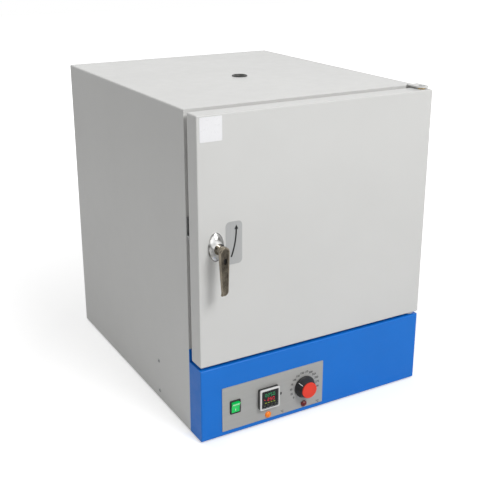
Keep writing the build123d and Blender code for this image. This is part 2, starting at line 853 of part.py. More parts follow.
rocker_well_half = rocker_half + rocker_well_ends
with BuildPart() as switch_body:
    with BuildSketch(facing_front(y_plate)):
        with Locations((switch_x, switch_z)):
            RectangleRounded(switch_width, switch_height, switch_corner)
    extrude(amount=switch_bezel)
    fillet(switch_body.faces().sort_by(Axis.Y)[0].edges(), switch_edge)
    with BuildSketch(facing_front(y_plate)):
        with Locations((switch_x, switch_z)):
            Rectangle(switch_width - 2 * switch_bezel_side, switch_height - 2 * switch_bezel_side)
    extrude(amount=-switch_body_depth)
    with BuildSketch(facing_front(y_plate + rocker_well_depth)):
        with Locations((switch_x, switch_z)):
            Rectangle(rocker_width + 2 * rocker_side_gap, 2 * rocker_well_half)
    extrude(amount=rocker_well_depth + switch_bezel, mode=Mode.SUBTRACT)
    with BuildSketch(facing_front(y_plate + switch_body_depth)):
        with Locations((switch_x, switch_z)):
            with GridLocations(0, blade_pitch, 1, 2):
                Rectangle(blade_width, blade_thickness)
    extrude(amount=-blade_length)
save(switch_body, "switch_body")

rocker_pivot_y = y_plate - switch_bezel + rocker_pivot_depth
rocker_rise = rocker_half * sin(radians(rocker_angle))
rocker_forward = (0, -cos(radians(rocker_angle)), -sin(radians(rocker_angle)))
rocker_plane = Plane(
    origin=(switch_x, rocker_pivot_y, switch_z), x_dir=rocker_forward, z_dir=(-1, 0, 0)
)
with BuildPart() as switch_rocker:
    with BuildSketch(rocker_plane):
        with BuildLine():
            Polyline(
                (rocker_pivot_depth, 0),
                (rocker_pivot_depth + rocker_rise, rocker_half),
                (-rocker_shoulder, rocker_half - rocker_shoulder / 2),
                (-rocker_keel, rocker_keel_half),
                (-rocker_keel, -rocker_keel_half),
                (-rocker_shoulder, rocker_shoulder / 2 - rocker_half),
                (rocker_pivot_depth + rocker_rise, -rocker_half),
                close=True,
            )
        make_face()
    extrude(amount=rocker_width / 2, both=True)
save(switch_rocker, "switch_rocker")

# ---- Temperature controller ----

collar_front = y_plate - controller_collar
bezel_front = collar_front - controller_bezel
window_front = bezel_front + window_sink
window_back = window_front + window_thickness
window_size = controller_size - 2 * controller_rim
key_places = [
    ((n - (key_columns - 1) / 2) * key_pitch, -key_drop) for n in range(key_columns)
]

with BuildPart() as controller_case:
    with BuildSketch(facing_front(y_plate)):
        with Locations((controller_x, controller_z)):
            collar = controller_size - 2 * collar_inset
            RectangleRounded(collar, collar, window_corner)
    extrude(amount=controller_collar)
    with BuildSketch(facing_front(y_plate)):
        with Locations((controller_x, controller_z)):
            Rectangle(controller_barrel, controller_barrel)
    extrude(amount=-controller_depth)
    with BuildSketch(facing_front(window_back + pocket_depth_behind)):
        with Locations((controller_x, controller_z)):
            Rectangle(window_size, window_size)
    extrude(amount=pocket_depth_behind + window_thickness, mode=Mode.SUBTRACT)
save(controller_case, "controller_case")

with BuildPart() as controller_frame:
    with BuildSketch(facing_front(collar_front)):
        with Locations((controller_x, controller_z)):
            RectangleRounded(controller_size, controller_size, controller_corner)
            RectangleRounded(window_size, window_size, window_corner, mode=Mode.SUBTRACT)
    extrude(amount=controller_bezel)
    outer_rim = controller_frame.faces().sort_by(Axis.Y)[0].outer_wire().edges()
    fillet(outer_rim, bezel_edge)
save(controller_frame, "controller_frame")

with BuildPart() as controller_window:
    with BuildSketch(facing_front(window_back)):
        with Locations((controller_x, controller_z)):
            pane = window_size - 2 * window_gap
            RectangleRounded(pane, pane, window_corner - window_gap)
            with Locations(*key_places):
                Rectangle(key_width + 2 * fit_gap, key_height + 2 * fit_gap, mode=Mode.SUBTRACT)
    extrude(amount=window_thickness)
save(controller_window, "controller_window")

for number, (dx, dz) in enumerate(key_places, start=1):
    with BuildPart() as key:
        with BuildSketch(facing_front(window_back + key_back)):
            with Locations((controller_x + dx, controller_z + dz)):
                RectangleRounded(key_width, key_height, key_corner)
        extrude(amount=key_back + window_thickness + key_travel)
        fillet(key.faces().sort_by(Axis.Y)[0].edges(), key_edge)
    save(key, f"controller_key_{number}")

# ---- Thermostat, its knob, and the two lamps ----

with BuildPart() as thermostat_body:
    with BuildSketch(facing_front(thermostat_front + thermostat_depth)):
        with Locations((dial_x, dial_z)):
            RectangleRounded(thermostat_width, thermostat_height, thermostat_corner)
    extrude(amount=thermostat_depth)
    with BuildSketch(facing_front(thermostat_front)):
        with Locations((dial_x, dial_z)):
            Circle(thermostat_neck_radius)
    extrude(amount=thermostat_front - y_plate)
    with BuildSketch(facing_front(thermostat_front + thermostat_depth / 2)):
        with Locations((dial_x, dial_z)):
            Circle(dial_shaft_radius + running_fit)
    extrude(amount=thermostat_depth + sheet + plate_thickness, mode=Mode.SUBTRACT)
    with BuildSketch(facing_front(thermostat_front + thermostat_depth)):
        with Locations((dial_x, dial_z + capillary_rise)):
            Circle(capillary_radius + fit_gap)
    extrude(amount=capillary_socket, mode=Mode.SUBTRACT)
save(thermostat_body, "thermostat_body")

knob_back = y_plate - knob_stand_off
knob_front = knob_back - knob_height
shaft_back = thermostat_front + thermostat_depth / 2 - shaft_end_gap
with BuildPart() as dial_shaft:
    with BuildSketch(facing_front(shaft_back)):
        with Locations((dial_x, dial_z)):
            Circle(dial_shaft_radius)
    extrude(amount=shaft_back - (knob_back - knob_socket))
save(dial_shaft, "dial_shaft")

with BuildPart() as knob:
    with BuildSketch(Plane(origin=(dial_x, knob_back, dial_z), x_dir=(1, 0, 0), z_dir=(0, 0, 1))):
        with BuildLine():
            Polyline(
                (0, 0),
                (knob_radius, 0),
                (knob_radius, -knob_rim),
                (knob_radius - knob_shoulder, -knob_rim - knob_shoulder_depth),
                (knob_neck_radius + knob_lip, -knob_height + knob_lip_depth),
                (knob_neck_radius, -knob_height),
                (0, -knob_height),
                close=True,
            )
        make_face()
    revolve(axis=Axis((dial_x, knob_back, dial_z), (0, 1, 0)))
    with BuildSketch(facing_front(knob_back)):
        with Locations((dial_x, dial_z)):
            Circle(dial_shaft_radius + running_fit)
    extrude(amount=knob_socket + running_fit, mode=Mode.SUBTRACT)
    with BuildSketch(facing_front(knob_back)):
        with Locations((dial_x, dial_z)):
            Circle(knob_radius - knob_wall)
            Circle(knob_hub_radius, mode=Mode.SUBTRACT)
    extrude(amount=knob_rim, mode=Mode.SUBTRACT)
save(knob, "knob")

with BuildPart() as knob_cap:
    with BuildSketch(facing_front(knob_front)):
        with Locations((dial_x, dial_z)):
            Circle(cap_radius)
    extrude(amount=cap_thickness)
    fillet(knob_cap.faces().sort_by(Axis.Y)[0].edges(), cap_edge)
save(knob_cap, "knob_cap")

dome_sphere = (lamp_radius**2 + lamp_dome**2) / (2 * lamp_dome)
dome_centre = dome_sphere - lamp_rim - lamp_dome
half_spread = asin(lamp_radius / dome_sphere) / 2
for x, name in ((amber_x, "amber_lamp_lens"), (red_x, "red_lamp_lens")):
    with BuildPart() as lens:
        with BuildSketch(Plane(origin=(x, y_plate, lamp_z), x_dir=(1, 0, 0), z_dir=(0, 0, 1))):
            with BuildLine():
                Polyline(
                    (0, -lamp_rim - lamp_dome),
                    (0, sheet + plate_thickness),
                    (lamp_barrel_radius, sheet + plate_thickness),
                    (lamp_barrel_radius, 0),
                    (lamp_radius, 0),
                    (lamp_radius, -lamp_rim),
                )
                ThreePointArc(
                    (lamp_radius, -lamp_rim),
                    (dome_sphere * sin(half_spread), dome_centre - dome_sphere * cos(half_spread)),
                    (0, -lamp_rim - lamp_dome),
                )
            make_face()
        revolve(axis=Axis((x, y_plate, lamp_z), (0, 1, 0)))
    save(lens, name)

with BuildPart() as lamp_bodies:
    with BuildSketch(facing_front(thermostat_front + lamp_body_length)):
        with Locations((amber_x, lamp_z), (red_x, lamp_z)):
            Circle(lamp_radius)
    extrude(amount=lamp_body_length)
save(lamp_bodies, "lamp_bodies")

# ---- Electrical tray in the bay ----

ear_x = half_width - sheet - fit_gap
with BuildPart() as component_tray:
    with BuildSketch(Plane.XY.offset(tray_height)):
        corner_rect(-ear_x, ear_x, y_front + tray_front, y_front + tray_front + tray_depth)
    extrude(amount=sheet)
    for side in (-1, 1):
        with BuildSketch(Plane.XY.offset(tray_height)):
            edges = sorted((side * ear_x, side * (ear_x - sheet)))
            corner_rect(*edges, y_front + tray_front, y_front + tray_front + tray_ear)
        extrude(amount=tray_ear_top - tray_height)
    tray_holes = [
        facing(side * ear_x, seat.origin.Y, seat.origin.Z, (side, 0, 0))
        for side in (-1, 1)
        for seat in side_seats[: len(side_screw_heights)]
    ]
    with BuildSketch(*tray_holes):
        Circle(screw_hole_radius)
    extrude(amount=-sheet, mode=Mode.SUBTRACT)
save(component_tray, "component_tray")

tray_top = tray_height + sheet
block_at = (gland_x - block_beside, y_front + tray_front + block_behind)
with BuildPart() as terminal_block:
    with BuildSketch(Plane.XY.offset(tray_top)):
        with Locations(block_at):
            Rectangle(block_width, block_depth)
    extrude(amount=block_height)
    with BuildSketch(Plane.XY.offset(tray_top + block_height)):
        with Locations(block_at):
            with GridLocations(terminal_pitch, terminal_row_pitch, terminals, 2):
                Circle(terminal_radius)
    extrude(amount=-terminal_depth, mode=Mode.SUBTRACT)
save(terminal_block, "terminal_block")

with BuildPart() as power_relay:
    with BuildSketch(Plane.XY.offset(tray_top)):
        with Locations((0, y_front + tray_front + relay_behind)):
            Rectangle(relay_width, relay_depth)
    extrude(amount=relay_height)
    fillet(power_relay.edges().group_by(Axis.Z)[-1], relay_edge)
save(power_relay, "power_relay")

gland_wall = y_back
with BuildPart() as cable_gland:
    with BuildSketch(facing(gland_x, gland_wall, gland_z, (0, 1, 0))):
        RegularPolygon(gland_hex / 2, 6, major_radius=False)
    extrude(amount=gland_hex_length)
    with BuildSketch(facing(gland_x, gland_wall + gland_hex_length, gland_z, (0, 1, 0))):
        Circle(gland_nose_radius)
    extrude(amount=gland_reach - gland_hex_length)
    fillet(cable_gland.faces().sort_by(Axis.Y)[-1].edges(), gland_nose_edge)
    with BuildSketch(facing(gland_x, gland_wall, gland_z, (0, -1, 0))):
        Circle(gland_thread_radius)
    extrude(amount=gland_inside)
    with BuildSketch(facing(gland_x, gland_wall - sheet, gland_z, (0, -1, 0))):
        RegularPolygon(gland_hex / 2 - gland_nut_step, 6, major_radius=False)
    extrude(amount=gland_nut)
    with BuildSketch(facing(gland_x, gland_wall - gland_inside, gland_z, (0, 1, 0))):
        Circle(gland_bore_radius)
    extrude(amount=gland_inside + gland_reach, mode=Mode.SUBTRACT)
save(cable_gland, "cable_gland")

# ---- Door ----

door_back_flange = y_door_back - sheet
with BuildPart() as door_skin:
    with BuildSketch(facing_front(y_door_back)):
        corner_rect(-half_width, half_width, door_bottom, door_top)
    extrude(amount=door_thickness)
    fillet(door_skin.edges().filter_by(Axis.Y), bend_radius)
    fillet(door_skin.faces().sort_by(Axis.Y)[0].edges(), door_edge_radius)
    offset(amount=-sheet, openings=door_skin.faces().sort_by(Axis.Y)[-1], mode=Mode.REPLACE)
    with BuildSketch(facing_front(y_door_back)):
        edge = sheet / 2
        corner_rect(-half_width + edge, half_width - edge, door_bottom + edge, door_top - edge)
        corner_rect(
            -half_width + door_flange,
            half_width - door_flange,
            door_bottom + door_flange,
            door_top - door_flange,
            Mode.SUBTRACT,
        )
    extrude(amount=sheet)
    with BuildSketch(facing_front(y_face + sheet)):
        with Locations((handle_x, handle_z)):
            Circle(sleeve_radius + fit_gap)
    extrude(amount=sheet, mode=Mode.SUBTRACT)
    with BuildSketch(facing_front(y_door_back)):
        with Locations((handle_x, handle_z)):
            Circle(sleeve_radius + sleeve_clearance)
    extrude(amount=sheet, mode=Mode.SUBTRACT)
    for z in (door_bottom, door_top - sheet):
        with BuildSketch(Plane.XY.offset(z)):
            with Locations((hinge_x, hinge_y)):
                Circle(bush_radius + fit_gap)
        extrude(amount=sheet, mode=Mode.SUBTRACT)
save(door_skin, "door_skin")


def plateau_outline(grow, y):
    """Foot of the raised middle of the inner panel, at depth y and facing the chamber."""
    with BuildSketch(Plane(origin=(0, y, chamber_middle), x_dir=(-1, 0, 0), z_dir=(0, 1, 0))) as foot:
        wide = chamber_width - 2 * plateau_margin + 2 * grow
        high = chamber_height - 2 * plateau_margin + 2 * grow
        RectangleRounded(wide, high, plateau_corner + grow)
    return foot.sketch


with BuildPart() as door_inner_panel:
    inset = inner_panel_inset
    with BuildSketch(facing_front(y_door_back + liner_sheet)):
        corner_rect(-half_width + inset, half_width - inset, door_bottom + inset, door_top - inset)
    extrude(amount=liner_sheet)
    outside = plateau_outline(liner_sheet, y_door_back + liner_sheet)
    extrude(outside, amount=plateau_step, taper=plateau_draft)
    inside = plateau_outline(0, y_door_back)
    extrude(inside, amount=plateau_step, taper=plateau_draft, mode=Mode.SUBTRACT)
    with BuildSketch(facing_front(y_door_back + liner_sheet)):
        with Locations((handle_x, handle_z)):
            Circle(sleeve_radius + fit_gap)
    extrude(amount=liner_sheet, mode=Mode.SUBTRACT)
save(door_inner_panel, "door_inner_panel")

with BuildPart() as door_insulation:
    edge = sheet + fit_gap
    with BuildSketch(facing_front(door_back_flange - fit_gap)):
        corner_rect(-half_width + edge, half_width - edge, door_bottom + edge, door_top - edge)
        with Locations((handle_x, handle_z)):
            Circle(sleeve_radius + fit_gap, mode=Mode.SUBTRACT)
    extrude(amount=door_back_flange - fit_gap - (y_face + sheet + fit_gap))
    fillet(door_insulation.edges().filter_by(Axis.Y).filter_by(GeomType.LINE), bend_radius)
    for z in (door_bottom, door_top - bush_length):
        with BuildSketch(Plane.XY.offset(z)):
            with Locations((hinge_x, hinge_y)):
                Circle(bush_radius + fit_gap)
        extrude(amount=bush_length, mode=Mode.SUBTRACT)
save(door_insulation, "door_insulation")

seal_front = y_door_back + liner_sheet
seal_depth = y_front - seal_front
with BuildPart() as door_seal:
    with BuildSketch(facing_front(y_front, z=chamber_middle)):
        inner_offset = 2 * seal_offset - seal_width
        inner_wide, inner_high = chamber_width + inner_offset, chamber_height + inner_offset
        outer_wide, outer_high = inner_wide + 2 * seal_width, inner_high + 2 * seal_width
        RectangleRounded(outer_wide, outer_high, seal_corner + seal_width)
        RectangleRounded(inner_wide, inner_high, seal_corner, mode=Mode.SUBTRACT)
    extrude(amount=seal_depth)
    fillet(door_seal.faces().sort_by(Axis.Y)[-1].edges(), seal_rounding)
save(door_seal, "door_seal")

with BuildPart() as hinge_bushes:
    for z, up in ((door_bottom, -1), (door_top, 1)):
        with BuildSketch(facing(hinge_x, hinge_y, z, (0, 0, up))):
            Circle(bush_flange_radius)
            Circle(pin_radius + running_fit, mode=Mode.SUBTRACT)
        extrude(amount=bush_flange)
        with BuildSketch(facing(hinge_x, hinge_y, z, (0, 0, -up))):
            Circle(bush_radius)
            Circle(pin_radius + running_fit, mode=Mode.SUBTRACT)
        extrude(amount=bush_length - fit_gap)
save(hinge_bushes, "hinge_bushes")

# ---- Hinge brackets, pins and screws ----


def hinge_bracket(leaf_low, back, drop, screw_zs):
    """Cranked bracket: a leaf screwed to the cabinet, folded forward over or under the door.

    The screwed leaf hangs down from the hinge leaf if drop is negative, and else stands up.
    """
    fold_z = leaf_low + leaf_thickness if drop < 0 else leaf_low
    ends = sorted((fold_z, fold_z + drop))
    with BuildPart() as bracket:
        with BuildSketch(Plane.XY.offset(leaf_low)):
            corner_rect(hinge_x - leaf_radius, hinge_x + leaf_radius, hinge_y, back)
            with Locations((hinge_x, hinge_y)):
                Circle(leaf_radius)
                Circle(pin_radius + running_fit, mode=Mode.SUBTRACT)
        extrude(amount=leaf_thickness)
        with BuildSketch(facing_front(back)):
            corner_rect(hinge_x - leaf_radius, hinge_x + leaf_radius, *ends)
        extrude(amount=leaf_thickness)
        along_x = bracket.edges().filter_by(Axis.X)
        back_edges = along_x.filter_by(lambda edge: abs(edge.center().Y - back) < 0.01)
        fillet(back_edges.sort_by(lambda edge: abs(edge.center().Z - fold_z))[0], leaf_bend)
        far_corners = bracket.edges().filter_by(Axis.Y).group_by(Axis.Z)[0 if drop < 0 else -1]
        fillet(far_corners, leaf_corner)
        with BuildSketch(*[facing(hinge_x, back - leaf_thickness, z, (0, -1, 0)) for z in screw_zs]):
            Circle(screw_hole_radius)
        extrude(amount=-leaf_thickness, mode=Mode.SUBTRACT)
    return bracket


save(hinge_bracket(upper_leaf_bottom, upper_leaf_back, -leaf_drop, upper_screw_zs), "hinge_bracket_upper")
save(hinge_bracket(lower_leaf_bottom, lower_leaf_back, leaf_drop, lower_screw_zs), "hinge_bracket_lower")

with BuildPart() as hinge_pins:
    for z, up in ((upper_leaf_top, 1), (lower_leaf_bottom, -1)):
        with BuildSketch(facing(hinge_x, hinge_y, z, (0, 0, up))):
            Circle(pin_head_radius)
        extrude(amount=pin_head)
        with BuildSketch(facing(hinge_x, hinge_y, z, (0, 0, -up))):
            Circle(pin_radius)
        extrude(amount=leaf_thickness + pin_length)
save(hinge_pins, "hinge_pins")

front_screw_length = leaf_thickness + 3 * sheet + front_screw_end
front_screw_seats = upper_hinge_seats + lower_hinge_seats + keeper_seats
save(pan_screws(front_screw_seats, front_screw_length), "front_screws")

# ---- Handle, spindle and latch ----

with BuildPart() as handle_rose:
    with BuildSketch(facing_front(y_face, handle_x, handle_z)):
        Ellipse(rose_half_width, rose_half_height)
    extrude(amount=rose_rim)
    with BuildSketch(facing_front(y_face - rose_rim, handle_x, handle_z)):
        Ellipse(rose_half_width - rose_edge_side, rose_half_height - rose_edge_end)
    with BuildSketch(facing_front(y_face - rose_height * rose_waist, handle_x, handle_z)):
        Ellipse(rose_waist_half_width, rose_waist_half_height)
    with BuildSketch(facing_front(y_face - rose_height, handle_x, handle_z)):
        Circle(rose_nose_radius)
    loft()
    with BuildSketch(facing_front(y_face, handle_x, handle_z)):
        Circle(spindle_radius + running_fit)
    extrude(amount=rose_height, mode=Mode.SUBTRACT)
save(handle_rose, "handle_rose")

with BuildPart() as lever:
    with BuildSketch(facing_front(y_face - rose_height, handle_x, handle_z)):
        with BuildLine():
            top = CenterArc((0, 0), lever_head_radius, 0, 180)
            Line(top @ 1, (-lever_tip_radius, -lever_length + lever_tip_radius))
            tip = CenterArc((0, -lever_length + lever_tip_radius), lever_tip_radius, 180, 180)
            Line(tip @ 1, top @ 0)
        make_face()
    extrude(amount=handle_reach - rose_height)
    with BuildSketch(Plane(origin=(handle_x, y_face, handle_z), x_dir=(0, -1, 0), z_dir=(-1, 0, 0))):
        with BuildLine():
            head_face = (lever_face, lever_head_radius)
            tip_face = (handle_reach, -lever_length)
            tip_rear = (handle_reach - lever_tip_thickness, -lever_length)
            head_rear = (lever_face - lever_head_thickness, lever_head_radius)
            Line(head_rear, head_face)
            ThreePointArc(head_face, (lever_face + lever_bulge, -lever_length / 2), tip_face)
            Line(tip_face, tip_rear)
            waist = (lever_face - lever_head_thickness + lever_hollow, -lever_length / 2)
            ThreePointArc(tip_rear, waist, head_rear)
        make_face()
    extrude(amount=lever_head_radius + 1.0, both=True, mode=Mode.INTERSECT)
    rear_face = lever.faces().filter_by(lambda face: face.normal_at().Y > 0.5).sort_by(Axis.Y)[-1]
    fillet(rear_face.edges(), lever_edge / 2)
    fillet(lever.faces().sort_by(Axis.Y)[0].edges(), lever_edge)
    with BuildSketch(facing_front(y_face - rose_height - fit_gap, handle_x, handle_z)):
        Circle(lever_neck_radius)
    extrude(amount=lever_face - rose_height - neck_wall)
    with BuildSketch(facing_front(y_face - rose_height - fit_gap, handle_x, handle_z)):
        Circle(spindle_radius)
    extrude(amount=lever_face - rose_height - spindle_wall, mode=Mode.SUBTRACT)
    slot_seat = y_face - lever_face + key_slot_depth
    with BuildSketch(facing_front(slot_seat, handle_x, handle_z - key_slot_drop)):
        SlotOverall(key_slot_length, key_slot_width, rotation=90)
    extrude(amount=key_slot_depth + lever_flare, mode=Mode.SUBTRACT)
save(lever, "lever")

spindle_front = y_face - lever_face + spindle_wall - fit_gap
spindle_back = tongue_back + nut_thickness
with BuildPart() as handle_spindle:
    with BuildSketch(facing_front(spindle_back, handle_x, handle_z)):
        Circle(spindle_radius)
    extrude(amount=spindle_back - spindle_front)
save(handle_spindle, "handle_spindle")

with BuildPart() as spindle_sleeve:
    with BuildSketch(facing_front(seal_front, handle_x, handle_z)):
        Circle(sleeve_radius)
        Circle(spindle_radius + running_fit, mode=Mode.SUBTRACT)
    extrude(amount=seal_front - y_face)
save(spindle_sleeve, "spindle_sleeve")

with BuildPart() as latch_tongue:
    with BuildSketch(facing_front(tongue_back, handle_x, handle_z)):
        Circle(tongue_hub_radius)
        corner_rect(-tongue_length + tongue_nose, 0, -tongue_half_width, tongue_half_width)
        with Locations((-tongue_length + tongue_nose, 0)):
            Ellipse(tongue_nose, tongue_half_width)
        Circle(spindle_radius + running_fit, mode=Mode.SUBTRACT)
    extrude(amount=tongue_thickness)
save(latch_tongue, "latch_tongue")

with BuildPart() as tongue_nut:
    with BuildSketch(facing_front(tongue_back + nut_thickness, handle_x, handle_z)):
        RegularPolygon(nut_across_flats / 2, 6, major_radius=False)
        Circle(spindle_radius + running_fit, mode=Mode.SUBTRACT)
    extrude(amount=nut_thickness)
save(tongue_nut, "tongue_nut")

with BuildPart() as keeper:
    keeper_edges = (keeper_outer_x, -half_width + keeper_inner_edge)
    lip_front = tongue_front - keeper_reach - keeper_lip
    with BuildSketch(facing_front(y_front)):
        corner_rect(*keeper_edges, lip_top - keeper_lip, keeper_top)
    extrude(amount=keeper_plate)
    with BuildSketch(facing_front(y_front)):
        corner_rect(keeper_outer_x, keeper_outer_x + lip_width, lip_top - keeper_lip, lip_top)
    extrude(amount=y_front - lip_front)
    with BuildSketch(facing_front(lip_front + keeper_lip)):
        corner_rect(keeper_outer_x, keeper_outer_x + lip_width, lip_bottom, lip_top)
    extrude(amount=keeper_lip)
    with BuildSketch(*keeper_seats):
        Circle(screw_hole_radius)
    extrude(amount=-keeper_plate, mode=Mode.SUBTRACT)
save(keeper, "keeper")

# ---- Labels on the door ----

with BuildPart() as latch_label:
    with BuildSketch(facing_front(y_face, latch_label_x, latch_label_z)):
        RectangleRounded(latch_label_width, latch_label_height, latch_label_corner)
    extrude(amount=label_thickness)
save(latch_label, "latch_label")
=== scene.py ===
"""Looks for the bench-top drying oven: camera, light, materials and the small printed parts."""

import math

import bmesh
import bpy
from mathutils import Matrix, Vector


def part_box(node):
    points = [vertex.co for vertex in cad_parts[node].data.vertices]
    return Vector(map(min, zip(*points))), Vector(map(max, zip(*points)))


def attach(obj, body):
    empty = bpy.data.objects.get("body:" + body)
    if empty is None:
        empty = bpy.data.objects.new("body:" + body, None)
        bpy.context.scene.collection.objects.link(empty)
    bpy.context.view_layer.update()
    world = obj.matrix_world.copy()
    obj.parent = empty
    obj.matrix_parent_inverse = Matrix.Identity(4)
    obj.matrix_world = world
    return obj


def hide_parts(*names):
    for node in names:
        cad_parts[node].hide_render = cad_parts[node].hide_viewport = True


MM = 0.001
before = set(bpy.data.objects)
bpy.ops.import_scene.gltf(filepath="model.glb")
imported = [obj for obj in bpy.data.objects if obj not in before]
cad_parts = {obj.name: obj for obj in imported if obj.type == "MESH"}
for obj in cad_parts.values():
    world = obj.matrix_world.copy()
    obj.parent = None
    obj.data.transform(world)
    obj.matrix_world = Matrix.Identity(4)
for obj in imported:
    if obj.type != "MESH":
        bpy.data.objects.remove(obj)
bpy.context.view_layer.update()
scene = bpy.context.scene


def placed(name, data):
    """A new object in the scene, made of a mesh, light or camera."""
    obj = bpy.data.objects.new(name, data)
    scene.collection.objects.link(obj)
    return obj


def emptied(owner):
    """The node tree of a material or world, with nothing in it."""
    owner.use_nodes = True
    owner.node_tree.nodes.clear()
    return owner.node_tree


def add_node(tree, kind, inputs=None, **settings):
    """A shader node. Each input takes another node's output or a plain value."""
    node = tree.nodes.new("ShaderNode" + kind)
    for name, value in settings.items():
        setattr(node, name, value)
    for socket, value in (inputs or {}).items():
        if isinstance(value, bpy.types.NodeSocket):
            tree.links.new(value, node.inputs[socket])
        else:
            node.inputs[socket].default_value = value
    return node


# ---- Camera ----

IMAGE = 500
FOCAL_PX = 856.0
AZIMUTH, ELEVATION, ROLL = 30.0, 18.7, 0.1
CAMERA_AT = (-0.957, -1.705, 1.005)
SHIFT_PX = 30.0


def camera_axes(azimuth, elevation, roll):
    """The camera's right, up and backward directions, from angles in degrees."""
    a, e, r = (math.radians(v) for v in (azimuth, elevation, roll))
    back = Vector((-math.sin(a) * math.cos(e), -math.cos(a) * math.cos(e), math.sin(e)))
    right = Vector((0, 0, 1)).cross(back).normalized()
    up = back.cross(right)
    c, s = math.cos(r), math.sin(r)
    return c * right + s * up, -s * right + c * up, back


lens = bpy.data.cameras.new("view")
lens.sensor_width = 36.0
lens.lens = FOCAL_PX * lens.sensor_width / IMAGE
lens.shift_y = -SHIFT_PX / IMAGE
lens.clip_start, lens.clip_end = 0.01, 100.0
camera = placed("view", lens)
turn = Matrix(camera_axes(AZIMUTH, ELEVATION, ROLL)).transposed().to_4x4()
camera.matrix_world = Matrix.Translation(CAMERA_AT) @ turn
scene.camera = camera

# ---- Light ----

scene.view_settings.view_transform = "Standard"
CENTRE = Vector((0, 0, 0.34))
WORLD_FILL = 0.36


def soft_light(name, at, size, energy):
    """A round area light that faces the middle of the oven."""
    data = bpy.data.lights.new(name, "AREA")
    data.shape = "DISK"
    data.size, data.energy = size, energy
    lamp = placed(name, data)
    lamp.location = at
    lamp.rotation_euler = (CENTRE - Vector(at)).to_track_quat("-Z", "Y").to_euler()


soft_light("front_light", (0.5, -2.7, 2.6), 1.4, 70.0)
soft_light("top_light", (-0.9, 1.3, 2.9), 0.9, 20.0)

# White where the camera, glass or a mirror sees it, dimmer as a light
world = bpy.data.worlds.new("studio")
scene.world = world
sky = emptied(world)
ray = add_node(sky, "LightPath").outputs
direct = add_node(
    sky, "Math", {0: ray["Is Camera Ray"], 1: ray["Is Transmission Ray"]}, operation="MAXIMUM"
)
seen = add_node(sky, "Math", {0: direct.outputs[0], 1: ray["Is Glossy Ray"]}, operation="MAXIMUM")
fill = add_node(sky, "Background", {"Color": (1, 1, 1, 1), "Strength": WORLD_FILL})
white = add_node(sky, "Background", {"Color": (1, 1, 1, 1), "Strength": 1.0})
mix = add_node(sky, "MixShader", {0: seen.outputs[0], 1: fill.outputs[0], 2: white.outputs[0]})
add_node(sky, "OutputWorld", {"Surface": mix.outputs[0]})

# ---- Materials ----

EVEN = (1, 1, 1)
LONG_IN_X, LONG_IN_Z = (0.03, 1, 1), (1, 1, 0.03)
BRUSHED_STRETCH = 0.02
NOISE_LOW, NOISE_HIGH = 0.3, 0.7


def linear(rgb):
    """A colour of 0 to 255 as linear values of 0 to 1."""
    return tuple((c / 255 / 12.92) if c <= 10 else ((c / 255 + 0.055) / 1.055) ** 2.4 for c in rgb)


class Finish:
    """A Principled material with procedural detail in object coordinates, which are metres."""

    def __init__(self, name, rgb, rough, metal=0.0, specular=0.5):
        self.name, self.base, self.rough = name, linear(rgb), rough
        self.mat = bpy.data.materials.new(name)
        self.mat.use_nodes = True
        self.tree = self.mat.node_tree
        self.sockets = self.tree.nodes["Principled BSDF"].inputs
        self.put("Base Color", (*self.base, 1.0))
        self.put("Roughness", rough)
        self.put("Metallic", metal)
        self.put("Specular IOR Level", specular)
        self.place = add_node(self.tree, "TexCoord").outputs["Object"]
        self.mat.diffuse_color = (*self.base, 1.0)

    def put(self, socket, value):
        self.sockets[socket].default_value = value
        return self

    def join(self, socket, value):
        self.tree.links.new(value, self.sockets[socket])
        return self

    def noise(self, scale, detail, stretch):
        where = self.place
        if stretch != EVEN:
            mapping = add_node(self.tree, "Mapping", {"Vector": where, "Scale": stretch})
            where = mapping.outputs["Vector"]
        texture = add_node(self.tree, "TexNoise", {"Vector": where, "Scale": scale, "Detail": detail})
        return texture.outputs["Fac"]

    def ranged(self, value, low, high):
        inputs = {"From Min": NOISE_LOW, "From Max": NOISE_HIGH, "To Min": low, "To Max": high}
        return add_node(self.tree, "MapRange", {**inputs, "Value": value}).outputs["Result"]

    def mottle(self, amount, scale, detail=3.0, stretch=EVEN):
        """Lets the colour wander by a share of itself."""
        low = tuple(c * (1 - amount) for c in self.base)
        high = tuple(min(1.0, c * (1 + amount)) for c in self.base)
        factor = self.ranged(self.noise(scale, detail, stretch), 0.0, 1.0)
        inputs = {"A": (*low, 1.0), "B": (*high, 1.0), "Factor": factor}
        return self.join("Base Color", add_node(self.tree, "Mix", inputs, data_type="RGBA").outputs["Result"])

    def uneven(self, spread, scale, detail=2.0, stretch=EVEN):
        """Lets the roughness wander."""
        noise = self.noise(scale, detail, stretch)
        return self.join("Roughness", self.ranged(noise, self.rough - spread, self.rough + spread))

    def grain(self, scale, height, strength, detail=2.0, stretch=EVEN):
        """Fine bumps of a height in metres."""
        noise = self.noise(scale, detail, stretch)
        bump = add_node(self.tree, "Bump", {"Strength": strength, "Distance": height, "Height": noise})
        return self.join("Normal", bump.outputs["Normal"])

    def glow(self, rgb, strength):
        self.put("Emission Color", (*linear(rgb), 1.0))
        return self.put("Emission Strength", strength)


def brushed(name, rgb, rough, along):
    """Bare metal with its fine lines along one axis."""
    stretch = tuple(BRUSHED_STRETCH if axis == along else 1.0 for axis in range(3))
    metal = Finish(name, rgb, rough, metal=1.0)
    metal.mottle(0.06, 900, 2, stretch)
    metal.uneven(0.07, 700, 2, stretch)
    return metal.grain(1200, 0.00002, 0.35, 2, stretch)


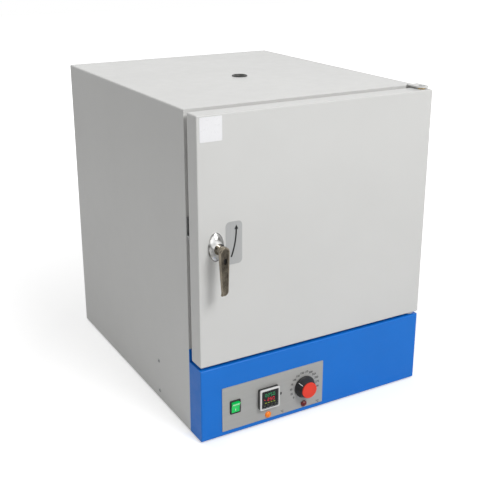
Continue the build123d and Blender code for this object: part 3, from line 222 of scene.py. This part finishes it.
# One finish for each material slot of the record
SLOT_FINISHES = (
    Finish("grey_paint", (212, 212, 210), 0.32)
    .mottle(0.012, 7).uneven(0.04, 40).grain(900, 0.00003, 0.35),
    Finish("blue_paint", (6, 115, 212), 0.36, specular=0.35)
    .mottle(0.03, 9).uneven(0.05, 45).grain(900, 0.00002, 0.15),
    Finish("control_plate_metal", (178, 178, 175), 0.45, 0.25)
    .mottle(0.03, 500, 2, LONG_IN_X).uneven(0.05, 500, 2, LONG_IN_X),
    brushed("stainless", (196, 196, 192), 0.3, along=1),
    Finish("chrome", (216, 213, 208), 0.08, 1.0)
    .mottle(0.1, 90).uneven(0.05, 80, 4).grain(260, 0.00006, 0.3),
    Finish("zinc_steel", (184, 186, 186), 0.34, 0.95)
    .mottle(0.08, 120, 4).uneven(0.08, 160).grain(700, 0.00004, 0.3),
    Finish("brass", (200, 162, 84), 0.32, 1.0)
    .mottle(0.08, 200).uneven(0.06, 300),
    Finish("copper", (186, 110, 78), 0.3, 1.0)
    .mottle(0.1, 150).uneven(0.07, 200),
    Finish("mineral_wool", (196, 184, 132), 0.95)
    .mottle(0.18, 160, 6).grain(260, 0.0012, 0.9, 8),
    Finish("seal_rubber", (150, 58, 44), 0.62)
    .mottle(0.06, 80).grain(500, 0.00008, 0.5),
    Finish("foot_rubber", (34, 34, 35), 0.7)
    .mottle(0.15, 120).grain(500, 0.0001, 0.5),
    Finish("black_plastic", (26, 26, 27), 0.4)
    .mottle(0.12, 150).uneven(0.06, 200).grain(1400, 0.00003, 0.4),
    Finish("controller_bezel", (224, 224, 222), 0.22, 0.1)
    .mottle(0.02, 60).uneven(0.04, 120),
    Finish("dark_window", (14, 20, 20), 0.12)
    .mottle(0.2, 30).uneven(0.03, 60),
    Finish("key_rubber", (30, 32, 32), 0.5)
    .mottle(0.1, 200).grain(900, 0.00003, 0.4),
    Finish("green_lens", (16, 176, 84), 0.2)
    .mottle(0.25, 90, 2).uneven(0.05, 150).glow((20, 230, 100), 0.25),
    Finish("red_plastic", (236, 58, 34), 0.4)
    .mottle(0.03, 60).uneven(0.05, 150).grain(1200, 0.00002, 0.3),
    Finish("amber_lens", (244, 126, 24), 0.16)
    .mottle(0.22, 420, 2).grain(500, 0.0003, 0.5).glow((255, 130, 20), 0.18),
    Finish("red_lens", (112, 16, 20), 0.16)
    .mottle(0.25, 420, 2).grain(500, 0.0003, 0.5),
    Finish("label", (184, 185, 185), 0.4, 0.2)
    .mottle(0.03, 500, 2, LONG_IN_Z).uneven(0.04, 200),
    Finish("white_plastic", (224, 222, 214), 0.4)
    .mottle(0.03, 90).grain(900, 0.00003, 0.3),
    Finish("white_ceramic", (228, 224, 212), 0.3)
    .mottle(0.04, 120).grain(500, 0.00006, 0.4),
)
FINISHES = {finish.name: finish for finish in SLOT_FINISHES}

# Finishes of the pieces made here
INK = Finish("ink", (8, 8, 10), 0.5).mottle(0.15, 300)
WHITE_INK = Finish("white_ink", (236, 236, 232), 0.45).mottle(0.03, 300)
BADGE = Finish("badge_white", (238, 238, 240), 0.3).mottle(0.01, 60).uneven(0.04, 200)
# Pale green with a faint glow: a painted highlight on the rocker's upper part
ROCKER_PAINTED_HIGHLIGHT = Finish("rocker_painted_highlight", (170, 226, 178), 0.3).mottle(0.04, 200).glow((150, 240, 170), 0.2)
DIGIT_GREEN = Finish("digit_green", (30, 150, 90), 0.4).mottle(0.1, 600).glow((30, 200, 110), 0.35)
DIGIT_RED = Finish("digit_red", (220, 36, 52), 0.4).mottle(0.1, 600).glow((255, 40, 60), 0.6)
STATUS_MARK = Finish("status_mark", (150, 165, 40), 0.45).mottle(0.08, 600)
KEY_MARK = Finish("key_mark", (84, 92, 58), 0.45).mottle(0.08, 600)
# Near-black: painted shade for the screws' cross recesses and the keyhole's floor
PAINTED_RECESS_SHADE = Finish("recess", (38, 38, 38), 0.6, 0.4).mottle(0.2, 600)

# Two nodes of the chrome slot that differ from the rest, both coloured with painted reflections
# Rose: large light and dark patches in the colour, painted reflections of the room
CHROME_PAINTED_REFLECTIONS = Finish("chrome_painted_reflections", (206, 204, 200), 0.07, 1.0).mottle(0.72, 62, 1).uneven(0.03, 80)
# Lever: a darker, warmer base colour with patches, painted dark reflections
CHROME_PAINTED_DARK_REFLECTION = Finish("chrome_painted_dark_reflection", (152, 143, 128), 0.18, 1.0).mottle(0.28, 70).uneven(0.06, 80, 4)
CHROME_PAINTED_DARK_REFLECTION.grain(260, 0.00006, 0.3)
OWN_FINISH = {"lever": CHROME_PAINTED_DARK_REFLECTION, "handle_rose": CHROME_PAINTED_REFLECTIONS}

for name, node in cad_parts.items():
    for material_slot in node.material_slots:
        wanted = material_slot.material.name.split(".")[0]
        material_slot.material = OWN_FINISH.get(name, FINISHES[wanted]).mat

# ---- Shapes, in millimetres unless they say otherwise ----

BEVEL_STEPS = 3
PRINT = 0.06


class Box:
    """A node's box at rest. Its x and z are those of its middle."""

    def __init__(self, node):
        low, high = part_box(node)
        self.left, self.front, self.bottom = (value / MM for value in low)
        self.right, self.back, self.top = (value / MM for value in high)
        self.x, self.z = (self.left + self.right) / 2, (self.bottom + self.top) / 2


def mesh_of(name, bm):
    """A mesh of what bm holds, which is freed."""
    mesh = bpy.data.meshes.new(name)
    bm.to_mesh(mesh)
    bm.free()
    return mesh


def solid_mesh(name, bm):
    """The same for closed forms, with every face turned outward."""
    bmesh.ops.recalc_face_normals(bm, faces=bm.faces[:])
    return mesh_of(name, bm)


def add_mesh(name, bm, finish, body, bevel=0.0):
    """A piece that rides on a body, with its edges rounded where bevel is given."""
    mesh = solid_mesh(name, bm)
    mesh.materials.append(finish.mat)
    obj = placed(name, mesh)
    if bevel:
        mod = obj.modifiers.new("edge", "BEVEL")
        mod.width, mod.segments, mod.limit_method = bevel * MM, BEVEL_STEPS, "ANGLE"
    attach(obj, body)
    return obj


def vertex(bm, x, y, z):
    return bm.verts.new((x * MM, y * MM, z * MM))


def skin(bm, rings, capped=True):
    """Faces from each ring of vertices to the next, with capped ends or else back to the first ring."""
    for near, far in zip(rings, rings[1:] if capped else rings[1:] + rings[:1]):
        for i in range(len(near)):
            j = (i + 1) % len(near)
            bm.faces.new((near[i], far[i], far[j], near[j]))
    if capped:
        bm.faces.new(rings[0])
        bm.faces.new(list(reversed(rings[-1])))


def prism(bm, outline, y_back, thickness=PRINT):
    """A flat piece that faces the front: its outline is in X and Z, and its back is at y_back."""
    skin(bm, [[vertex(bm, x, y, z) for x, z in outline] for y in (y_back, y_back - thickness)])


def stroke(bm, points, width, y_back):
    """A printed line along points, as one prism."""
    left, right = [], []
    for i, (x, z) in enumerate(points):
        before, after = points[max(i - 1, 0)], points[min(i + 1, len(points) - 1)]
        dx, dz = after[0] - before[0], after[1] - before[1]
        size = math.hypot(dx, dz)
        nx, nz = -dz / size * width / 2, dx / size * width / 2
        left.append((x + nx, z + nz))
        right.append((x - nx, z - nz))
    prism(bm, left + right[::-1], y_back)


def rectangle(left, right, bottom, top):
    return [(left, bottom), (right, bottom), (right, top), (left, top)]


def rounded(x, z, width, height, radius, steps=6):
    """A rectangle about x and z with rounded corners."""
    points = []
    for side, end, start in ((1, 1, 0), (-1, 1, 90), (-1, -1, 180), (1, -1, 270)):
        corner_x, corner_z = x + side * (width / 2 - radius), z + end * (height / 2 - radius)
        for i in range(steps + 1):
            a = math.radians(start + 90 * i / steps)
            points.append((corner_x + radius * math.cos(a), corner_z + radius * math.sin(a)))
    return points


def arc_through(start, middle, end, steps=24):
    """Points on the circle through three points, from start to end."""
    (ax, az), (bx, bz), (cx, cz) = start, middle, end
    d = 2 * (ax * (bz - cz) + bx * (cz - az) + cx * (az - bz))
    aa, bb, cc = ax * ax + az * az, bx * bx + bz * bz, cx * cx + cz * cz
    ox = (aa * (bz - cz) + bb * (cz - az) + cc * (az - bz)) / d
    oz = (aa * (cx - bx) + bb * (ax - cx) + cc * (bx - ax)) / d
    radius = math.hypot(ax - ox, az - oz)
    first, last = math.atan2(az - oz, ax - ox), math.atan2(cz - oz, cx - ox)
    angles = [first + (last - first) * i / steps for i in range(steps + 1)]
    return [(ox + radius * math.cos(a), oz + radius * math.sin(a)) for a in angles]


# ---- Door: bare badge and turning arrow ----

BADGE_IN_X, BADGE_DOWN = 30.0, 27.5
BADGE_SIZE, BADGE_CORNER, BADGE_THICKNESS, BADGE_EDGE = 47.0, 1.0, 0.5, 0.15
door = Box("door_skin")
bm = bmesh.new()
badge = rounded(door.left + BADGE_IN_X, door.top - BADGE_DOWN, BADGE_SIZE, BADGE_SIZE, BADGE_CORNER)
prism(bm, badge, door.front, BADGE_THICKNESS)
add_mesh("door_badge", bm, BADGE, "door", BADGE_EDGE)

# The arrow runs from below to its head above, each point measured from the label's middle
ARROW_WIDTH, ARROW_HEAD_HALF, ARROW_HEAD_LENGTH = 3.4, 4.4, 9.0
ARROW_START, ARROW_MIDDLE, ARROW_END = (-6.5, -28.5), (2.0, 0.0), (4.9, 27.5)
label = Box("latch_label")
path = arc_through(*((label.x + x, label.z + z) for x, z in (ARROW_START, ARROW_MIDDLE, ARROW_END)))
bm = bmesh.new()
stroke(bm, path, ARROW_WIDTH, label.front)
tip, before_tip = path[-1], path[-3]
dx, dz = tip[0] - before_tip[0], tip[1] - before_tip[1]
size = math.hypot(dx, dz)
dx, dz = dx / size, dz / size
head = [
    (tip[0] + dx * ARROW_HEAD_LENGTH, tip[1] + dz * ARROW_HEAD_LENGTH),
    (tip[0] - dz * ARROW_HEAD_HALF, tip[1] + dx * ARROW_HEAD_HALF),
    (tip[0] + dz * ARROW_HEAD_HALF, tip[1] - dx * ARROW_HEAD_HALF),
]
prism(bm, head, label.front)
add_mesh("latch_arrow", bm, INK, "door")

# ---- Control plate: dial scale and degree marks ----

LETTER_SIZE, LETTER_WEIGHT, LETTER_STEPS = 1.36, 0.16, 3
plate = Box("control_plate")
knob = Box("knob")


def letters(bm, text, x, z, height):
    """Plain text printed on the control plate, about x and z."""
    curve = bpy.data.curves.new("letters", "FONT")
    curve.body, curve.size = text, height * LETTER_SIZE * MM
    curve.align_x = curve.align_y = "CENTER"
    curve.resolution_u = LETTER_STEPS
    curve.offset = LETTER_WEIGHT * MM
    curve.extrude = PRINT / 2 * MM
    obj = placed("letters", curve)
    bpy.context.view_layer.update()
    graph = bpy.context.evaluated_depsgraph_get()
    mesh = bpy.data.meshes.new_from_object(obj.evaluated_get(graph))
    to_plate = Matrix.Translation((x * MM, (plate.front - PRINT / 2) * MM, z * MM))
    mesh.transform(to_plate @ Matrix.Rotation(math.radians(90), 4, "X"))
    bm.from_mesh(mesh)
    bpy.data.objects.remove(obj)
    bpy.data.curves.remove(curve)
    bpy.data.meshes.remove(mesh)


NUMBERS, NUMBER_STEP, NUMBER_HEIGHT = 13, 25, 4.9
SCALE_RADIUS, SCALE_START, SCALE_SWEEP = 34.0, 217, 232
bm = bmesh.new()
for i in range(NUMBERS):
    a = math.radians(SCALE_START - SCALE_SWEEP * i / (NUMBERS - 1))
    x, z = knob.x + SCALE_RADIUS * math.cos(a), knob.z + SCALE_RADIUS * math.sin(a)
    letters(bm, str(NUMBER_STEP * i), x, z, NUMBER_HEIGHT)
add_mesh("dial_numbers", bm, INK, "cabinet")

DEGREE_MARKS, DEGREE_HEIGHT = ((-86.8, 20.5), (4.6, 19.5)), 5.4
bm = bmesh.new()
for x, z in DEGREE_MARKS:
    letters(bm, "°C", x, z, DEGREE_HEIGHT)
add_mesh("degree_marks", bm, INK, "cabinet")

# ---- Knob: pointer line on its flank, set in it and standing a hair above it ----

POINTER_ANGLE = math.radians(140)
POINTER_WIDTH, POINTER_DEPTH, POINTER_LIFT = 1.3, 0.3, 0.05
# How far each end of the flank is inside the rim, and in front of the knob's back
FLANK_BACK, FLANK_FRONT = (1.4, 5.0), (5.4, 16.0)
knob_radius = (knob.right - knob.left) / 2
flank = [(knob_radius - inside, knob.back - ahead) for inside, ahead in (FLANK_BACK, FLANK_FRONT)]
section = [(radius - POINTER_DEPTH, y) for radius, y in flank]
section += [(radius + POINTER_LIFT, y) for radius, y in reversed(flank)]
c, s = math.cos(POINTER_ANGLE), math.sin(POINTER_ANGLE)
bm = bmesh.new()
rings = []
for across in (-POINTER_WIDTH / 2, POINTER_WIDTH / 2):
    offset_x, offset_z = knob.x - across * s, knob.z + across * c
    rings.append([vertex(bm, offset_x + radius * c, y, offset_z + radius * s) for radius, y in section])
skin(bm, rings)
add_mesh("knob_pointer", bm, WHITE_INK, "dial")

# ---- Rocker: painted highlight band and line ----


def surface_y(node, x, z):
    """Where a node's front surface lies at x and z."""
    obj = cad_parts[node]
    to_node = obj.matrix_world.inverted()
    start = to_node @ Vector((x * MM, -1.0, z * MM))
    backward = to_node.to_3x3() @ Vector((0, 1, 0))
    _, where, _, _ = obj.ray_cast(start, backward)
    return (obj.matrix_world @ where).y / MM


def draped(bm, node, outline):
    """A printed patch that follows a node's front surface at each corner."""
    corners = [(x, surface_y(node, x, z), z) for x, z in outline]
    skin(bm, [[vertex(bm, x, y - lift, z) for x, y, z in corners] for lift in (0.0, PRINT)])


# The band near the rocker's top is a painted highlight
BAND_INSET, BAND_BOTTOM, BAND_TOP = 1.5, 6.0, 2.6
LINE_HALF, LINE_BOTTOM, LINE_TOP = 0.6, 8.2, 3.6
rocker = Box("switch_rocker")
band = rectangle(
    rocker.left + BAND_INSET, rocker.right - BAND_INSET, rocker.top - BAND_BOTTOM, rocker.top - BAND_TOP
)
bm = bmesh.new()
draped(bm, "switch_rocker", band)
add_mesh("rocker_highlight_band", bm, ROCKER_PAINTED_HIGHLIGHT, "rocker")
line = rectangle(
    rocker.x - LINE_HALF, rocker.x + LINE_HALF, rocker.z - LINE_BOTTOM, rocker.z - LINE_TOP
)
bm = bmesh.new()
draped(bm, "switch_rocker", line)
add_mesh("rocker_line", bm, WHITE_INK, "rocker")

# ---- Lever: lofted down its length, with a flicked toe, a neck and a keyhole ----

LEVER_LENGTH, LEVER_HEAD, LEVER_STEPS, LEVER_SIDES = 85.6, 11.2, 44, 28
LEVER_FACE, LEVER_FLARE, LEVER_THICK_HEAD, LEVER_THICK_TIP = 375.8, 3.6, 10.4, 6.0
LEVER_TAPER_LEFT, LEVER_TAPER_RIGHT, LEVER_BOW_RIGHT = 2.6, 4.6, 1.2
LEVER_SQUARENESS, LEVER_SHARP = 0.5, math.radians(35)
LEVER_TOP_SHARE = 0.995  # just short of the head's top, where a section has no width
TOE_HEIGHT, TOE_FLICK, TOE_ROUND = 9.0, 1.6, 7.0
NECK_RADIUS, NECK_STEPS, NECK_SHORT, NECK_EDGE = 8.0, 40, 4.0, 0.6
SLOT_LENGTH, SLOT_WIDTH, SLOT_DEPTH, SLOT_DROP = 12.0, 6.8, 4.0, 17.0
SLOT_ROUND, SLOT_FLOOR_GAP, SLOT_FLOOR = 0.1, 0.3, 0.4
SLEEVE_RADIUS, SOLID_HEAD = 8.0, 12.5
solid_lever = Box("lever")
lever_x, lever_z = Box("spindle_sleeve").left + SLEEVE_RADIUS, solid_lever.top - SOLID_HEAD


def lever_section(t):
    """Left, right, front and back of the lever at height t above its axis."""
    down = max(0.0, -t) / LEVER_LENGTH
    left = -LEVER_HEAD + LEVER_TAPER_LEFT * down
    right = LEVER_HEAD - LEVER_TAPER_RIGHT * down - LEVER_BOW_RIGHT * down * down
    front = -LEVER_FACE - LEVER_FLARE * down * down
    back = front + LEVER_THICK_HEAD + (LEVER_THICK_TIP - LEVER_THICK_HEAD) * down
    if t > 0:
        half = math.sqrt(max(0.0, LEVER_HEAD ** 2 - t * t))
        left, right = -half, half
    toe = max(0.0, 1 - (t + LEVER_LENGTH) / TOE_HEIGHT)
    left -= TOE_FLICK * toe ** 2
    right -= TOE_ROUND * (1 - math.sqrt(max(0.0, 1 - toe ** 2)))
    return left, right, front, back


def squared(value):
    """A cosine or sine pushed outward, which makes a circle squarer."""
    return math.copysign(abs(value) ** LEVER_SQUARENESS, value)


bm = bmesh.new()
rings = []
lever_top = LEVER_HEAD * LEVER_TOP_SHARE
for i in range(LEVER_STEPS + 1):
    share = (1 - math.cos(math.pi * i / LEVER_STEPS)) / 2
    t = lever_top - share * (LEVER_LENGTH + lever_top)
    left, right, front, back = lever_section(t)
    ring = []
    for k in range(LEVER_SIDES):
        angle = 2 * math.pi * k / LEVER_SIDES
        across = squared(math.cos(angle)) * (right - left) / 2 + (left + right) / 2
        deep = squared(math.sin(angle)) * (back - front) / 2 + (front + back) / 2
        ring.append(vertex(bm, lever_x + across, deep, lever_z + t))
    rings.append(ring)
skin(bm, rings)
lever = add_mesh("lever_form", bm, CHROME_PAINTED_DARK_REFLECTION, "handle")
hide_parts("lever")

turns = [2 * math.pi * k / NECK_STEPS for k in range(NECK_STEPS)]
circle = [(lever_x + NECK_RADIUS * math.cos(v), lever_z + NECK_RADIUS * math.sin(v)) for v in turns]
bm = bmesh.new()
prism(bm, circle, solid_lever.back, solid_lever.back + LEVER_FACE - NECK_SHORT)
add_mesh("lever_neck", bm, CHROME_PAINTED_DARK_REFLECTION, "handle", NECK_EDGE)

# The keyhole is cut for good, so no modifier or cutter is left on the lever
slot_z, slot_back = lever_z - SLOT_DROP, -LEVER_FACE + SLOT_DEPTH
bm = bmesh.new()
keyhole = rounded(lever_x, slot_z, SLOT_WIDTH, SLOT_LENGTH, SLOT_WIDTH / 2 - SLOT_ROUND)
prism(bm, keyhole, slot_back, SLOT_DEPTH + LEVER_FLARE)
cutter = placed("slot_cutter", solid_mesh("slot_cutter", bm))
cut = lever.modifiers.new("slot", "BOOLEAN")
cut.object, cut.solver = cutter, "EXACT"
bpy.context.view_layer.update()
graph = bpy.context.evaluated_depsgraph_get()
carved = bpy.data.meshes.new_from_object(lever.evaluated_get(graph))
lever.modifiers.clear()
lever.data = carved
bpy.data.objects.remove(cutter)
for polygon in lever.data.polygons:
    polygon.use_smooth = True
lever.data.set_sharp_from_angle(angle=LEVER_SHARP)

# A dark plate on the keyhole's floor, painted shade in the keyhole
slot_floor = rounded(
    lever_x,
    slot_z,
    SLOT_WIDTH - SLOT_FLOOR_GAP,
    SLOT_LENGTH - SLOT_FLOOR_GAP,
    SLOT_WIDTH / 2 - SLOT_FLOOR_GAP,
)
bm = bmesh.new()
prism(bm, slot_floor, slot_back, SLOT_FLOOR)
add_mesh("key_slot_bottom", bm, PAINTED_RECESS_SHADE, "handle")

# ---- Controller: read-out, border, key marks ----

DIGIT_WIDTH, DIGIT_HEIGHT, DIGIT_PITCH = 3.8, 6.4, 6.4
BAR_WIDTH, BAR_GAP = DIGIT_WIDTH * 0.2, DIGIT_WIDTH * 0.06
BARS = {"0": "abcdef", "2": "abged", "5": "acdfg"}
BAR_ENDS = {
    "a": ((-1, 1), (1, 1)),
    "b": ((1, 1), (1, 0)),
    "c": ((1, 0), (1, -1)),
    "d": ((-1, -1), (1, -1)),
    "e": ((-1, 0), (-1, -1)),
    "f": ((-1, 1), (-1, 0)),
    "g": ((-1, 0), (1, 0)),
}
# Rows are measured down from the window's top, and what is in them from its middle
UPPER_ROW, LOWER_ROW, STATUS_ROW = 9.0, 19.5, 27.0
UPPER_START, LOWER_START = -9.6, -4.4
DOT_AT, DOT_SIZE, DOT_CORNER = -13.0, 2.0, 0.9
STATUS_AT, STATUS_WIDTH, STATUS_HEIGHT, STATUS_CORNER = (-10.5, -3.5, 3.5, 10.5), 4.2, 1.9, 0.5
window = Box("controller_window")
controller = Box("controller_frame")


def number(bm, text, x, z):
    """Seven-bar digits in a row, the first of them about x and z."""
    cut = BAR_GAP + BAR_WIDTH / 3
    for place, char in enumerate(text):
        for bar in BARS[char]:
            (x0, z0), (x1, z1) = ((u * DIGIT_WIDTH / 2, v * DIGIT_HEIGHT / 2) for u, v in BAR_ENDS[bar])
            size = math.hypot(x1 - x0, z1 - z0)
            ux, uz = (x1 - x0) / size * cut, (z1 - z0) / size * cut
            at = x + DIGIT_PITCH * place
            stroke(bm, [(at + x0 + ux, z + z0 + uz), (at + x1 - ux, z + z1 - uz)], BAR_WIDTH, window.front)


bm = bmesh.new()
number(bm, "0250", window.x + UPPER_START, window.top - UPPER_ROW)
add_mesh("display_upper", bm, DIGIT_GREEN, "cabinet")
bm = bmesh.new()
number(bm, "250", window.x + LOWER_START, window.top - LOWER_ROW)
dot = rounded(window.x + DOT_AT, window.top - LOWER_ROW, DOT_SIZE, DOT_SIZE, DOT_CORNER)
prism(bm, dot, window.front)
add_mesh("display_lower", bm, DIGIT_RED, "cabinet")
bm = bmesh.new()
for at in STATUS_AT:
    z = window.top - STATUS_ROW
    prism(bm, rounded(window.x + at, z, STATUS_WIDTH, STATUS_HEIGHT, STATUS_CORNER), window.front)
add_mesh("status_marks", bm, STATUS_MARK, "cabinet")

# Dark border that carries the read-out's dark face onto the frame
BORDER, OPENING_CORNER = 1.4, 1.5
inner_size = window.right - window.left
outer_size = inner_size + 2 * BORDER
outer = rounded(controller.x, controller.z, outer_size, outer_size, OPENING_CORNER + BORDER)
inner = rounded(controller.x, controller.z, inner_size, inner_size, OPENING_CORNER)
y_on, y_off = controller.front, controller.front - PRINT
bm = bmesh.new()
edges = ((outer, y_on), (outer, y_off), (inner, y_off), (inner, y_on))
skin(bm, [[vertex(bm, x, y, z) for x, z in outline] for outline, y in edges], capped=False)
add_mesh("window_border", bm, FINISHES["dark_window"], "cabinet")

KEY_MARKS = (
    [(-1.4, 0.0), (1.0, 1.3), (1.0, -1.3)],
    [(0.0, -1.4), (1.5, 1.0), (-1.5, 1.0)],
    [(0.0, 1.4), (-1.5, -1.0), (1.5, -1.0)],
    rounded(0.0, 0.0, 3.2, 2.0, 0.9, 3),
)
for number_of_key, outline in enumerate(KEY_MARKS, 1):
    key = Box(f"controller_key_{number_of_key}")
    bm = bmesh.new()
    prism(bm, [(key.x + x, key.z + z) for x, z in outline], key.front)
    add_mesh(f"key_mark_{number_of_key}", bm, KEY_MARK, f"key_{number_of_key}")

# Small dark pad on the plate beside the controller
PAD_BESIDE, PAD_DOWN, PAD_WIDTH, PAD_HEIGHT = 8.5, 1.0, 3.2, 6.0
PAD_CORNER, PAD_THICKNESS, PAD_EDGE = 0.7, 0.8, 0.2
pad = rounded(controller.right + PAD_BESIDE, controller.z - PAD_DOWN, PAD_WIDTH, PAD_HEIGHT, PAD_CORNER)
bm = bmesh.new()
prism(bm, pad, plate.front, PAD_THICKNESS)
add_mesh("plate_pad", bm, FINISHES["black_plastic"], "cabinet", PAD_EDGE)

# ---- Screws: dark crosses on their heads, painted shade for the cross recesses, each turned its own way ----

CROSS_ARM, CROSS_WIDTH, CROSS_LIFT = 2.3 * MM, 0.9 * MM, 0.03 * MM
CROSS_TURN, CROSS_TURN_PER_METRE = 17, 900
WELD_DISTANCE = 1e-6
# The axis that each node's heads face along, and which way; None is away from the middle
SCREWS = (("front_screws", 1, -1), ("rear_panel_screws", 1, 1), ("side_screws", 0, None))
AXES = (Vector((1, 0, 0)), Vector((0, 1, 0)), Vector((0, 0, 1)))


def loose_boxes(node):
    """Low and high corner of each loose part of a node, in metres."""
    bm = bmesh.new()
    bm.from_mesh(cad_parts[node].data)
    bmesh.ops.remove_doubles(bm, verts=bm.verts[:], dist=WELD_DISTANCE)
    seen, boxes = set(), []
    for first in bm.verts:
        if first in seen:
            continue
        seen.add(first)
        island = [first]
        for vert in island:  # grows as neighbours are found
            for edge in vert.link_edges:
                other = edge.other_vert(vert)
                if other not in seen:
                    seen.add(other)
                    island.append(other)
        spans = [[vert.co[k] for vert in island] for k in range(3)]
        boxes.append((Vector([min(span) for span in spans]), Vector([max(span) for span in spans])))
    bm.free()
    return boxes


def cross(bm, at, u, v, outward):
    """Two dark crossed bars along u and v, lying on a screw's head as painted shade for its cross recess. All
    in metres.
    """
    for a, b in ((u, v), (v, u)):
        signs = ((1, 1), (-1, 1), (-1, -1), (1, -1))
        corners = [at + a * sa * CROSS_ARM + b * sb * CROSS_WIDTH / 2 for sa, sb in signs]
        skin(bm, [[bm.verts.new(c + outward * lift) for c in corners] for lift in (0.0, CROSS_LIFT)])


for node, axis, way in SCREWS:
    bm = bmesh.new()
    for low, high in loose_boxes(node):
        middle = (low + high) / 2
        sign = way or (1 if middle[axis] > 0 else -1)
        at = middle.copy()
        at[axis] = (high if sign > 0 else low)[axis]
        u, v = [AXES[k] for k in range(3) if k != axis]
        angle = math.radians(CROSS_TURN + CROSS_TURN_PER_METRE * (middle.x + middle.z))
        tilt = Matrix.Rotation(angle, 3, AXES[axis])
        cross(bm, at, tilt @ u, tilt @ v, AXES[axis] * sign)
    add_mesh(node + "_recess", bm, PAINTED_RECESS_SHADE, "cabinet")

# ---- Stage, in metres ----

# White floor: it takes shadows, and glows more with distance, so it has no far edge
FLOOR_HALF, FLOOR_DROP, FLOOR_COLOUR = 9.0, 0.0004, (0.8, 0.8, 0.8, 1)
GLOW = {"From Min": 0.5, "From Max": 2.4, "To Min": 0.45, "To Max": 1.0}
bm = bmesh.new()
bmesh.ops.create_grid(bm, x_segments=1, y_segments=1, size=FLOOR_HALF)
floor_mesh = mesh_of("floor", bm)
floor = placed("floor", floor_mesh)
floor.location.z = -FLOOR_DROP
floor_white = bpy.data.materials.new("floor_white")
tree = emptied(floor_white)
place = add_node(tree, "TexCoord").outputs["Object"]
reach = add_node(tree, "VectorMath", {0: place}, operation="LENGTH")
fade = add_node(tree, "MapRange", {**GLOW, "Value": reach.outputs["Value"]})
by_camera = add_node(tree, "LightPath").outputs["Is Camera Ray"]
glow = add_node(tree, "Math", {0: by_camera, 1: fade.outputs["Result"]}, operation="MULTIPLY")
matt = add_node(tree, "BsdfDiffuse", {"Color": FLOOR_COLOUR})
lift = add_node(tree, "Emission", {"Strength": glow.outputs[0]})
total = add_node(tree, "AddShader", {0: matt.outputs[0], 1: lift.outputs[0]})
add_node(tree, "OutputMaterial", {"Surface": total.outputs[0]})
floor_mesh.materials.append(floor_white)

CARD_COLOUR = (0.02, 0.02, 0.02, 1)


def dark_card(name, at, width, height, facing_way):
    """A dark card that only mirror-like metal reflects."""
    bm = bmesh.new()
    corners = rectangle(-width / 2, width / 2, -height / 2, height / 2)
    bm.faces.new([bm.verts.new((x, y, 0)) for x, y in corners])
    mesh = mesh_of(name, bm)
    card = placed(name, mesh)
    card.location = at
    card.rotation_euler = Vector(facing_way).to_track_quat("Z", "Y").to_euler()
    dark = bpy.data.materials.new(name)
    dark.use_nodes = True
    dark.node_tree.nodes["Principled BSDF"].inputs["Base Color"].default_value = CARD_COLOUR
    mesh.materials.append(dark)
    card.visible_camera = card.visible_diffuse = False
    card.visible_shadow = card.visible_transmission = False


dark_card("card_front", (0.3, -1.35, 0.02), 1.6, 0.6, (0, 0, 1))
dark_card("card_camera", (-1.25, -2.1, 0.9), 0.5, 0.9, (0.6, 1.0, -0.2))
dark_card("card_left", (-1.9, -1.3, 0.6), 1.0, 1.6, (1, 0.4, 0))
